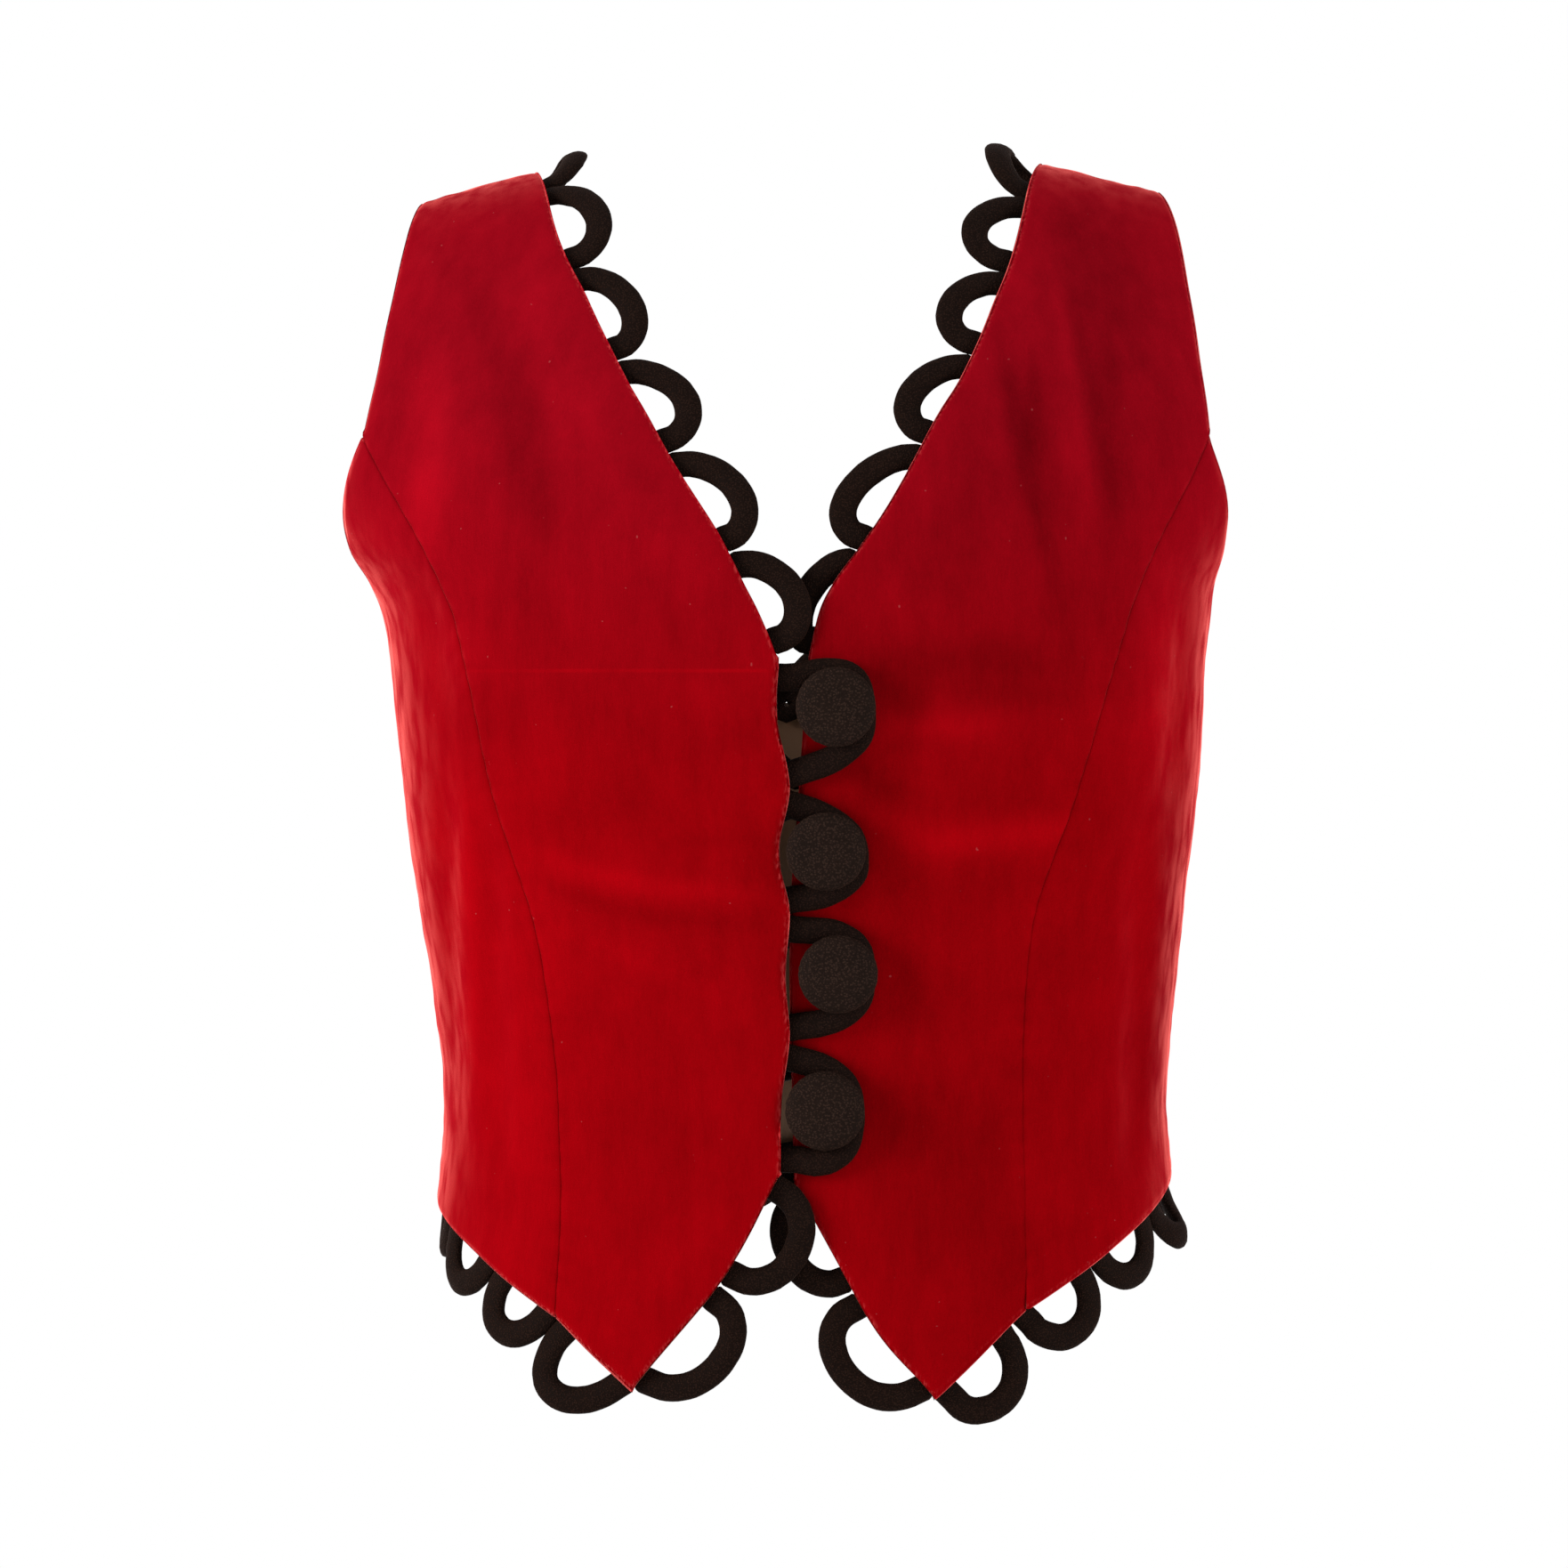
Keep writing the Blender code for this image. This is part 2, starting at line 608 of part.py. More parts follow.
def loop_route(loops):
    """The trim's centre line: length along the edge, distance out, rise off the cloth, and squeeze."""
    inset = 0.5 * (TUBE_WIDTH + LEG_GAP)
    route = [(loops[0].start + inset, -TURN_DEPTH, 0.0, TURN_SQUEEZE)]
    for index, loop in enumerate(loops):
        middle = 0.5 * (loop.start + loop.end)
        half = 0.5 * (loop.end - loop.start) - inset
        route.append((loop.start + inset, 0.0, 0.0, 1.0))
        shape = loop.shape
        for step in range(1, ARCH_STEPS):
            turn = math.pi * step / ARCH_STEPS
            out = math.sin(turn) ** shape.roundness
            run = signed_power(math.cos(turn), shape.roundness)
            length = middle - half * run + shape.lean * out
            route.append((length, (shape.reach - 0.5 * TUBE_WIDTH) * out, shape.rise * out * out, 1.0))
        route.append((loop.end - inset, 0.0, 0.0, 1.0))
        if index + 1 < len(loops):
            route.append((loop.end - inset * TURN_SLANT, -TURN_DEPTH * TURN_SLANT, 0.0, TURN_SQUEEZE))
            route.append((loop.end, -TURN_DEPTH, 0.0, TURN_SQUEEZE))
            route.append((loop.end + inset * TURN_SLANT, -TURN_DEPTH * TURN_SLANT, 0.0, TURN_SQUEEZE))
    route.append((loops[-1].end - inset, -TURN_DEPTH, 0.0, TURN_SQUEEZE))
    return route


def trim_frames(path, loops):
    """The trim's sections: each matrix carries a unit circle to its flattened section."""
    depth = -(WALL + TRIM_GAP + 0.5 * TUBE_THICKNESS)
    centres, normals, squeezes = [], [], []
    for length, out, rise, squeeze in loop_route(loops):
        point, outward, normal = path.frame(length, out)
        drop = TURN_DROP * max(0.0, -out) / TURN_DEPTH
        centres.append(point + outward * out + normal * (depth + rise - drop))
        normals.append(normal)
        squeezes.append(squeeze)
    frames = []
    for i, centre in enumerate(centres):
        ahead = centres[min(i + 1, len(centres) - 1)] - centres[max(i - 1, 0)]
        direction = ahead.normalized()
        across = direction.cross(normals[i]).normalized()
        upward = across.cross(direction)
        across = across * (0.5 * TUBE_WIDTH * squeezes[i])
        upward = upward * (0.5 * TUBE_THICKNESS)
        frames.append(
            Matrix(
                (
                    (across.x, upward.x, direction.x, centre.x),
                    (across.y, upward.y, direction.y, centre.y),
                    (across.z, upward.z, direction.z, centre.z),
                    (0.0, 0.0, 0.0, 1.0),
                )
            )
        )
    return frames


def add_tube(name, frames):
    """A closed tube: one end face is pushed from section to section, and the open start is filled."""
    bm = bmesh.new()
    bmesh.ops.create_circle(bm, cap_ends=True, segments=TUBE_SIDES, radius=1.0, matrix=frames[0])
    cap = bm.faces[:]
    for before, after in zip(frames, frames[1:]):
        cap = bmesh.ops.extrude_discrete_faces(bm, faces=cap)["faces"]
        bmesh.ops.transform(bm, matrix=after @ before.inverted(), verts=cap[0].verts[:])
    bmesh.ops.holes_fill(bm, edges=[edge for edge in bm.edges if edge.is_boundary])
    return add_object(name, bm, TRIM_CLOTH)


def front_trim(name, front, side_front):
    """The trim of one front: neck, front edge, the hem to its point, and on to the side seam."""
    path = EdgePath(-front.side)
    path.add(lambda f: front.frame(0.0, mix(0.0, V_BOTTOM, f)), "V")
    path.add(lambda f: front.frame(0.0, mix(V_BOTTOM, LOWER_CORNER, f)), "corner")
    path.add(lambda f: front.frame(0.0, mix(LOWER_CORNER, front.last, f)), "point")
    path.add(lambda f: front.frame(f, front.last), "seam")
    path.add(lambda f: side_front.frame(f, side_front.last), "side")
    marks = path.marks
    if front.side == RIGHT:
        start, end = SHOULDER_HALF_RIGHT, marks["side"] - SIDE_GAP
        neck, closing = NECK_SHAPES_RIGHT, BUTTON_LOOP_SHAPES
        points, hem = POINT_SHAPES_RIGHT, HEM_SHAPES_RIGHT
    else:
        start, end = SHOULDER_HALF_LEFT, marks["side"] - SIDE_LOOP
        neck, closing = NECK_SHAPES_LEFT, HIDDEN_SHAPES
        points, hem = POINT_SHAPES_LEFT, HEM_SHAPES_LEFT
    loops = spaced(start, marks["V"] - NECK_END_GAP, neck)
    loops += spaced(marks["V"] + CLOSING_START_GAP, marks["corner"], closing)
    loops += spaced(marks["corner"], marks["point"], points)
    loops += spaced(marks["point"], end, hem)
    return add_tube(name, trim_frames(path, loops))


def back_neck_trim(name, fronts, back):
    """The trim over the left shoulder, down and up the back's V, and over the right shoulder."""
    path = EdgePath(1)
    path.add(lambda f: fronts[LEFT].frame(0.0, mix(2.0, 0.0, f)), "left shoulder")
    path.add(lambda f: back.frame(0.0, mix(0.0, BACK_V_BOTTOM, f), LEFT), "V")
    path.add(lambda f: back.frame(0.0, mix(BACK_V_BOTTOM, 0.0, f), RIGHT), "right shoulder")
    path.add(lambda f: fronts[RIGHT].frame(0.0, mix(0.0, 2.0, f)), "end")
    left, middle, right = (path.marks[mark] for mark in ("left shoulder", "V", "right shoulder"))
    from_left = left + SHOULDER_HALF_RIGHT
    to_right = right - SHOULDER_HALF_RIGHT
    loops = [Loop(left - SHOULDER_HALF_LEFT, from_left, SHOULDER_SHAPE)]
    loops += spaced(from_left, middle, BACK_NECK_SHAPES)
    loops += spaced(middle, to_right, BACK_NECK_SHAPES[::-1])
    loops += [Loop(to_right, right + SHOULDER_HALF_RIGHT, SHOULDER_SHAPE)]
    return add_tube(name, trim_frames(path, loops))


def back_hem_trim(name, side_front, back):
    """The trim of the back hem, from just before the left side seam to the right side seam."""
    path = EdgePath(-1)
    path.add(lambda f: side_front.frame(mix(0.5, 1.0, f), side_front.last), "side")
    path.add(lambda f: back.frame(1.0 - f, back.last, LEFT), "middle")
    path.add(lambda f: back.frame(f, back.last, RIGHT), "end")
    start = path.marks["side"] - SIDE_LOOP
    return add_tube(name, trim_frames(path, spaced(start, path.marks["end"], BACK_HEM_SHAPES)))


def add_button(name, place):
    """A covered button: a turned dome on a round shank that passes through its loop."""
    level = level_at(place.z)
    angle = angle_at(place.x, level)
    normal = body_normal(angle, level)
    base = body_point(angle, level) + normal * (LAP_LEFT_LIFT + BUTTON_SEAT)
    profile = [(0.0, 0.0), (SHANK_RADIUS, 0.0), (SHANK_RADIUS, BUTTON_UNDERSIDE)]
    for across, up in BUTTON_DOME:
        profile.append((across * BUTTON_RADIUS, BUTTON_UNDERSIDE + up * BUTTON_HEIGHT))
    bm = bmesh.new()
    points = [bm.verts.new((radius, 0.0, height)) for radius, height in profile]
    edges = [bm.edges.new(pair) for pair in zip(points, points[1:])]
    bmesh.ops.spin(
        bm,
        geom=points + edges,
        axis=(0.0, 0.0, 1.0),
        cent=(0.0, 0.0, 0.0),
        angle=2.0 * math.pi,
        steps=BUTTON_STEPS,
        use_merge=True,
    )
    bmesh.ops.remove_doubles(bm, verts=bm.verts, dist=1e-6)
    turn = normal.to_track_quat("Z", "Y").to_matrix().to_4x4()
    bmesh.ops.transform(bm, matrix=Matrix.Translation(base) @ turn, verts=bm.verts)
    return add_object(name, bm, TRIM_CLOTH)


def build():
    for old in list(bpy.data.objects):
        bpy.data.objects.remove(old)
    fronts = {side: Front(side) for side in (RIGHT, LEFT)}
    side_fronts = {side: SideFront(side) for side in (RIGHT, LEFT)}
    back = Back()
    for side, word in ((RIGHT, "right"), (LEFT, "left")):
        add_panel(f"front_{word}", fronts[side], FRONT_COLUMNS)
        add_panel(f"side_front_{word}", side_fronts[side], SIDE_COLUMNS)
        front_trim(f"trim_front_{word}", fronts[side], side_fronts[side])
    add_back("back", back, BACK_COLUMNS)
    back_neck_trim("trim_back_neck", fronts, back)
    back_hem_trim("trim_back_hem", side_fronts[LEFT], back)
    for index, place in enumerate(BUTTONS):
        add_button(f"button_{index + 1}", place)


build()
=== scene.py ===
"""Looks of a fitted velvet vest: velvet panels with rolled edges and sunk seams, a padded loop trim and
covered buttons. Metres, +Z up, the front faces -Y. "Right" and "left" are the wearer's."""

import math
from collections import namedtuple

import bmesh
import bpy
import numpy as np
from mathutils import Matrix, Vector, noise


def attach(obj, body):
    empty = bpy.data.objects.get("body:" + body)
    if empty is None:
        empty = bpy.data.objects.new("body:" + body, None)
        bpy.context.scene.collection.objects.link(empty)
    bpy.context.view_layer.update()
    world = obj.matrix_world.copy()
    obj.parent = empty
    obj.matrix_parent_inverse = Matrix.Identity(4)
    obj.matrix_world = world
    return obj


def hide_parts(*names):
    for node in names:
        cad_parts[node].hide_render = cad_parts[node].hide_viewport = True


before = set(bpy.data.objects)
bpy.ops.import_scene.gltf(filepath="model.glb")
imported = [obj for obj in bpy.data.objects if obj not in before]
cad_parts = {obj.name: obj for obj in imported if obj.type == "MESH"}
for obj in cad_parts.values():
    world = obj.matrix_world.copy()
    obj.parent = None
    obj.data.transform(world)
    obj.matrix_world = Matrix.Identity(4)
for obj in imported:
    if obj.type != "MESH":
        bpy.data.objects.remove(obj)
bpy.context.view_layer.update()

bl_info = {
    "name": "Velvet Vest",
    "version": (1, 0, 0),
    "blender": (4, 5, 0),
    "location": "3D View > Sidebar > Vest",
    "description": "Builds the velvet panels, loop trim and buttons of a fitted vest",
    "category": "Add Mesh",
}

RIGHT, LEFT = -1, 1


def table(kind, *rows):
    """Rows of values under the names of their kind."""
    return tuple(kind(*row) for row in rows)


# The wall is as in the solids; the sewn edges stand closer together than there
WALL = 0.002
SEAM_GAP = 0.00001

# The body form, one row for each ring: height, sideways centre, half width, depth to front and to back
Ring = namedtuple("Ring", "height centre_x half_width front_depth back_depth")
RINGS = table(
    Ring,
    (0.000, 0.0000, 0.1720, 0.0000, 0.0000),
    (-0.004, 0.0000, 0.1725, 0.0200, 0.0200),
    (-0.014, 0.0000, 0.1740, 0.0380, 0.0380),
    (-0.032, 0.0000, 0.1765, 0.0560, 0.0550),
    (-0.058, 0.0000, 0.1800, 0.0760, 0.0710),
    (-0.085, 0.0005, 0.1835, 0.0915, 0.0825),
    (-0.110, -0.0004, 0.1862, 0.1022, 0.0888),
    (-0.130, -0.0004, 0.1844, 0.1085, 0.0920),
    (-0.146, 0.0004, 0.1773, 0.1120, 0.0940),
    (-0.160, 0.0022, 0.1680, 0.1142, 0.0955),
    (-0.176, 0.0042, 0.1627, 0.1158, 0.0962),
    (-0.200, 0.0046, 0.1603, 0.1165, 0.0955),
    (-0.235, 0.0056, 0.1575, 0.1135, 0.0915),
    (-0.280, 0.0060, 0.1520, 0.1050, 0.0840),
    (-0.325, 0.0070, 0.1460, 0.0970, 0.0780),
    (-0.362, 0.0072, 0.1430, 0.0930, 0.0770),
    (-0.400, 0.0078, 0.1460, 0.0945, 0.0830),
    (-0.440, 0.0082, 0.1510, 0.0965, 0.0890),
    (-0.500, 0.0090, 0.1580, 0.0990, 0.0960),
)
RING_SQUARENESS = 2.3
SHOULDER_SLOPE = 0.27
SHOULDER_LEVEL_X = 0.1235
SHOULDER_TILT = 0.0175
SHOULDER_ZONE = 0.090

# Front panels, one row for each station from the shoulder to the hem point: the open edge, the curved
# seam, and the grid rows to the next station. Heights are ring heights, before the shoulder's slope.
Station = namedtuple("Station", "edge_x edge_height seam_x seam_height rows")
FRONT_RIGHT = table(
    Station,
    (-0.1000, 0.000, -0.1440, 0.000, 4),
    (-0.0905, -0.026, -0.1515, -0.022, 2),
    (-0.0765, -0.055, -0.1563, -0.053, 2),
    (-0.0623, -0.081, -0.1604, -0.079, 2),
    (-0.0487, -0.105, -0.1651, -0.1026, 2),
    (-0.0282, -0.139, -0.1454, -0.138, 2),
    (-0.0146, -0.165, -0.1326, -0.164, 2),
    (-0.0037, -0.190, -0.1249, -0.189, 3),
    (0.0007, -0.238, -0.1147, -0.238, 4),
    (0.0007, -0.287, -0.0987, -0.288, 4),
    (0.0007, -0.335, -0.0905, -0.3355, 4),
    (-0.0024, -0.3875, -0.0872, -0.388, 3),
    (-0.0256, -0.430, -0.0875, -0.415, 3),
    (-0.0598, -0.471, -0.0895, -0.4435, 0),
)
FRONT_LEFT = table(
    Station,
    (0.1015, 0.000, 0.1470, 0.000, 4),
    (0.0915, -0.028, 0.1547, -0.020, 2),
    (0.0795, -0.058, 0.1588, -0.050, 2),
    (0.0678, -0.081, 0.1625, -0.079, 2),
    (0.0545, -0.103, 0.1655, -0.1015, 2),
    (0.0336, -0.139, 0.1471, -0.138, 2),
    (0.0156, -0.165, 0.1356, -0.164, 2),
    (0.0085, -0.189, 0.1278, -0.189, 3),
    (0.0048, -0.239, 0.1125, -0.239, 4),
    (0.0014, -0.287, 0.0957, -0.288, 4),
    (0.0014, -0.335, 0.0911, -0.335, 4),
    (0.0034, -0.392, 0.0917, -0.391, 3),
    (0.0304, -0.441, 0.0920, -0.416, 3),
    (0.0570, -0.4737, 0.0928, -0.4400, 0),
)
PRINCESS_TOP, V_BOTTOM, LOWER_CORNER = 4, 7, 11
EDGE_KINKS = (V_BOTTOM, LOWER_CORNER)
SEAM_KINKS = (PRINCESS_TOP,)
# How far the front edge draws in between the loops' roots, from the top loop down
EDGE_SCALLOPS = (0.0027, 0.0042, 0.0017, 0.0014)

# Side fronts
UNDERARM_HEIGHT = -0.174
SIDE_HEM_RIGHT = -0.4015
SIDE_HEM_LEFT = -0.389
ARMHOLE_SCOOP = 0.0103
HEM_RAISE = 0.0062

# Back, from the shoulder to the hem: its V neck and centre line, and its armhole and side seam
BackStation = namedtuple("BackStation", "neck_x neck_height side_angle side_height rows")
BACK = table(
    BackStation,
    (0.1008, 0.000, 124.0, 0.000, 5),
    (0.1130, -0.033, 123.0, -0.034, 2),
    (0.1060, -0.062, 121.5, -0.070, 2),
    (0.0840, -0.100, 119.0, -0.110, 2),
    (0.0600, -0.135, 114.0, -0.140, 2),
    (0.0330, -0.178, 103.0, -0.165, 2),
    (0.0000, -0.206, 90.0, -0.174, 2),
    (0.0000, -0.255, 90.0, -0.220, 2),
    (0.0000, -0.300, 90.0, -0.275, 2),
    (0.0000, -0.336, 90.0, -0.330, 2),
    (0.0000, -0.366, 90.0, -0.370, 2),
    (0.0000, -0.3895, 90.0, -0.400, 0),
)
BACK_V_BOTTOM = 6
BACK_KINKS = (BACK_V_BOTTOM,)

# The front edges overlap in layers: the right one is lifted, the left one lies deeper
LAP_RIGHT_LIFT = 0.005
LAP_LEFT_LIFT = -0.0033
LAP_RIGHT_FLAT, LAP_RIGHT_END = 0.009, 0.036
LAP_LEFT_FLAT, LAP_LEFT_END = 0.036, 0.062
LAP_STARTS, LAP_FULL = -0.115, -0.152
LAP_FADES, LAP_ENDS = -0.432, -0.468

# Folds, each a soft trough or ridge along a line seen from the front or the back: the line's two ends,
# its half width and its depth in millimetres
MM = 0.001
Fold = namedtuple("Fold", "x0 z0 x1 z1 half_width depth")


def strokes(depth_unit, *rows):
    """Folds, or strokes of painted light and shade, from rows whose places and half widths are in
    millimetres.
    """
    return tuple(Fold(*(MM * value for value in row[:5]), depth_unit * row[5]) for row in rows)


FRONT_FOLDS = strokes(
    MM,
    (-138, -50, -138, -112, 8, -1.6),
    (-100, -66, -92, -122, 9, -1.7),
    (-96, -276, -22, -281, 9, 1.8),
    (-98, -254, -30, -257, 10, -1.3),
    (-92, -301, -26, -322, 11, -1.5),
    (93, -79, 105, -143, 9, -3.6),
    (119, -62, 130, -140, 11, -3),
    (106, -84, 112, -128, 6, 1.4),
    (40, -217, 98, -216, 10, 1.3),
    (44, -264, 94, -254, 10, 1.3),
    (-132.7, -237.7, -130.7, -344, 4.5, -1.2),
    (-124.2, -246.2, -120.7, -374.9, 4.5, 1),
    (-113.9, -260, -110.4, -381.7, 4.8, -1),
    (-142, -155.3, -131.7, -210.2, 5.5, -1.1),
    (154.3, -172.5, 149.5, -241.1, 4.8, -1.2),
    (144.7, -261.7, 142.7, -374.9, 4.5, 0.9),
    (135.1, -278.8, 134.1, -392, 4.5, -1),
)
BACK_FOLDS = strokes(
    MM,
    (-85, -292, -20, -300, 11, -1.7),
    (20, -312, 88, -298, 11, -1.5),
    (-60, -262, 30, -268, 10, 1.2),
    (-112, -85, -104, -140, 9, -2),
    (116, -90, 106, -148, 9, -2.2),
)
FOLD_END_FADE = 0.018

# Painted light and shade: strokes like the folds, lighter or darker, with a share of lightness for the
# depth.
# Those beside the curved seam lie on both pieces, and are painted light.
SEAM_PAINTED_LIGHT = (
    (-111, -265, -101, -317, 24, 0.32),
    (-108, -320, -97, -426, 24, 0.22),
)
FRONT_PAINTED_SHADING = strokes(
    1.0,
    (77, -101, 60, -162, 21, -0.26),
    (23, -190, 102, -191, 10, -0.32),
    (36, -199, 46, -206, 9, -0.66),
    (53, -203, 108, -205, 5, -0.18),
    (24, -232, 50, -245, 7, -0.48),
    (47, -261, 139, -253, 7, 0.46),
    (36, -216, 77, -216, 5, 0.35),
    (53, -354, 53, -426, 21, -0.27),
    (77, -359, 83, -447, 12, -0.22),
    (57, -299, 53, -341, 19, -0.1),
    (96, -270, 96, -317, 7, 0.14),
    (107, -243, 114, -258, 6, 0.2),
    (107, -155, 108, -210, 6, -0.14),
    (110, -10, 117, -54, 11, -0.3),
    (126, -22, 138, -83, 10, -0.22),
    (83, -73, 89, -97, 4, -0.28),
    (90, -101, 101, -159, 4, -0.3),
    (111, -51, 120, -101, 4, -0.26),
    (121, -104, 126, -142, 5, -0.3),
    (103, -39, 110, -83, 3, 0.26),
    (111, -87, 116, -131, 3, 0.26),
    (81, -51, 82, -68, 5, -0.22),
    (79, -87, 82, -124, 4, 0.16),
    (124, -63, 126, -101, 5, -0.34),
    (95, -73, 96, -97, 3, -0.25),
    (-152, -71, -153, -102, 5, -0.25),
    (-136, -22, -132, -56, 7, -0.2),
    (-139, -70, -139, -152, 7, 0.45),
    (-121, -42, -111, -80, 8, -0.28),
    (-111, -83, -96, -142, 9, -0.25),
    (-108, -155, -84, -191, 12, -0.15),
    (-97, -39, -97, -73, 7, 0.25),
    (-84, -80, -70, -114, 8, 0.2),
    (-21, -176, -18, -282, 12, -0.14),
    (-32, -188, -25, -191, 10, -0.25),
    (-132, -306, -39, -308, 12, 0.22),
    (-99, -263, -77, -271, 4, 0.2),
    (-77, -271, -53, -277, 4, 0.28),
    (-53, -277, -6, -281, 4, 0.24),
    (-97, -275, -70, -284, 4, -0.26),
    (-70, -284, -49, -289, 4, -0.22),
    (-49, -289, -8, -292, 4, -0.16),
    (-91, -289, -56, -306, 5, 0.14),
    (-56, -306, -29, -318, 5, 0.12),
    (-39, -260, -8, -258, 4, -0.18),
    *SEAM_PAINTED_LIGHT,
)
SIDE_PAINTED_SHADING = strokes(
    1.0,
    (-139, -253, -139, -274, 10, 0.25),
    (-129, -231, -123, -341, 9, 0.24),
    (147, -155, 143, -231, 10, 0.36),
    (139, -238, 134, -299, 7, 0.22),
    (153, -262, 147, -368, 8, -0.5),
    *SEAM_PAINTED_LIGHT,
)
BACK_PAINTED_SHADING = strokes(
    1.0,
    (-90, -262, 20, -276, 10, 0.18),
    (-30, -294, 92, -284, 9, -0.16),
    (20, -244, 104, -237, 12, 0.14),
    (-100, -236, -30, -243, 10, -0.12),
    (-86, -155, -62, -232, 12, -0.16),
    (88, -150, 66, -228, 12, -0.16),
    (-106, -60, -100, -130, 12, 0.14),
    (108, -66, 100, -136, 12, 0.14),
    (-52, -318, -58, -380, 10, 0.14),
    (42, -322, 48, -380, 10, -0.12),
)
# How far painted shade darkens the folds' troughs and painted light lightens their ridges, and how much
# painted highlight lies along the rolled edges
SHADING_FOLLOWS_FOLDS = 60.0
HIGHLIGHT_FOLLOWS_EDGES = 250.0

# Painted highlight: a faint light line across the right front, seen from the front: where it lies, fades
# and ends
HIGHLIGHT_LINE_HEIGHT = -0.195
HIGHLIGHT_LINE_SLOPE = -0.004
HIGHLIGHT_LINE_WIDTH = (0.0002, 0.0011)
HIGHLIGHT_LINE_OUTER_END = (-0.130, -0.110)
HIGHLIGHT_LINE_INNER_END = (-0.012, -0.004)
HIGHLIGHT_LINE_SHARE = 0.30

# Padded loop trim. A loop takes its share of a stretch of edge; its top lies at its reach out from the
# edge, moved by its lean along the edge and raised off the cloth by its rise.
TUBE_WIDTH = 0.0106
TUBE_THICKNESS = 0.0054
TUBE_SIDES = 16
TUBE_CREASES = 0.00018
TUBE_CREASE_SCALES = (210.0, 520.0)
ROUTE_FINENESS = 4
TRIM_GAP = 0.0008
LEG_GAP = 0.0005
TURN_DEPTH = 0.0046
TURN_DROP = 0.0010
TURN_SQUEEZE = 0.62
TURN_SLANT = 0.7
# An edge's direction is taken over a step that grows with the distance out from it
EDGE_STEP = 0.002
EDGE_STEP_GROWTH = 0.6
ARCH_STEPS = 8
PATH_STEPS = 60
SHOULDER_STATIONS = 2.0
SHOULDER_HALF_RIGHT = 0.023
SHOULDER_HALF_LEFT = 0.037
SIDE_LOOP = 0.0445
SIDE_GAP = 0.0015
Shape = namedtuple("Shape", "share reach lean roundness rise")
NECK_ROUNDNESS, HEM_ROUNDNESS = 1.0, 0.93


def shapes(roundness, *rows):
    """A loop shape for each row of share, reach and lean."""
    return tuple(Shape(*row, roundness, 0.0) for row in rows)


SHOULDER_SHAPE = Shape(1.0, 0.0225, 0.0, 1.0, 0.006)
NECK_SHAPES_RIGHT = shapes(
    NECK_ROUNDNESS,
    (0.0518, 0.0220, 0.0044),
    (0.0482, 0.0196, 0.0040),
    (0.0458, 0.0216, 0.0044),
    (0.0491, 0.0206, 0.0042),
    (0.0442, 0.0205, 0.0030),
)
NECK_SHAPES_LEFT = shapes(
    NECK_ROUNDNESS,
    (0.0418, 0.0220, 0.0044),
    (0.0419, 0.0204, 0.0044),
    (0.0447, 0.0190, 0.0044),
    (0.0502, 0.0204, 0.0074),
    (0.0455, 0.0125, 0.0050),
)
NECK_END_GAP = 0.001
CLOSING_START_GAP = 0.002
BUTTON_LOOP_SHAPES = table(
    Shape,
    (1.0, 0.0380, -0.0045, 0.76, 0.0),
    (1.0, 0.0345, 0.0020, 0.86, 0.0),
    (1.0, 0.0350, -0.0015, 0.76, 0.0),
    (1.0, 0.0323, 0.0020, 0.76, 0.0),
)
HIDDEN_SHAPES = shapes(NECK_ROUNDNESS, (1.0, 0.0205, 0.0)) * 4
POINT_SHAPES_RIGHT = shapes(
    HEM_ROUNDNESS,
    (0.0475, 0.0240, 0.0),
    (0.0527, 0.0245, -0.0030),
)
HEM_SHAPES_RIGHT = shapes(
    HEM_ROUNDNESS,
    (0.0424, 0.0284, 0.0045),
    (0.0373, 0.0240, 0.0025),
    (0.0419, 0.0225, 0.0010),
    (0.0271, 0.0200, 0.0),
)
POINT_SHAPES_LEFT = shapes(
    HEM_ROUNDNESS,
    (0.0475, 0.0200, 0.0),
    (0.0527, 0.0245, -0.0030),
)
HEM_SHAPES_LEFT = shapes(
    HEM_ROUNDNESS,
    (1.0, 0.0250, -0.0010),
    (1.0, 0.0245, 0.0015),
    (1.0, 0.0225, 0.0010),
)
BACK_NECK_REACHES = (0.0130, 0.0165, 0.0180, 0.0170, 0.0128)
BACK_NECK_SHAPES = shapes(NECK_ROUNDNESS, *((1.0, reach, 0.0) for reach in BACK_NECK_REACHES))
BACK_HEM_SHAPES = (
    Shape(1.1, 0.0260, 0.0, HEM_ROUNDNESS, 0.006),
    *shapes(HEM_ROUNDNESS, (1.1, 0.0208, 0.0)) * 4,
    *shapes(HEM_ROUNDNESS, (1.0, 0.0208, 0.0)) * 6,
)

# Buttons, from the top: places on the left front seen from the front, and one turned profile
Button = namedtuple("Button", "x z")
BUTTONS = table(
    Button,
    (0.0185, -0.2084),
    (0.0149, -0.2626),
    (0.0195, -0.3097),
    (0.0146, -0.3630),
)
BUTTON_RADIUS = 0.015
SHANK_RADIUS = 0.003
BUTTON_SEAT = 0.0003
BUTTON_UNDERSIDE = 0.0065
BUTTON_HEIGHT = 0.0072
BUTTON_STEPS = 72
# The dome's outline as shares of the button's radius and height, from its underside to its top
BUTTON_DOME = ((0.80, 0.0), (1.0, 0.24), (1.0, 0.46), (0.85, 0.76), (0.50, 0.94), (0.0, 1.0))

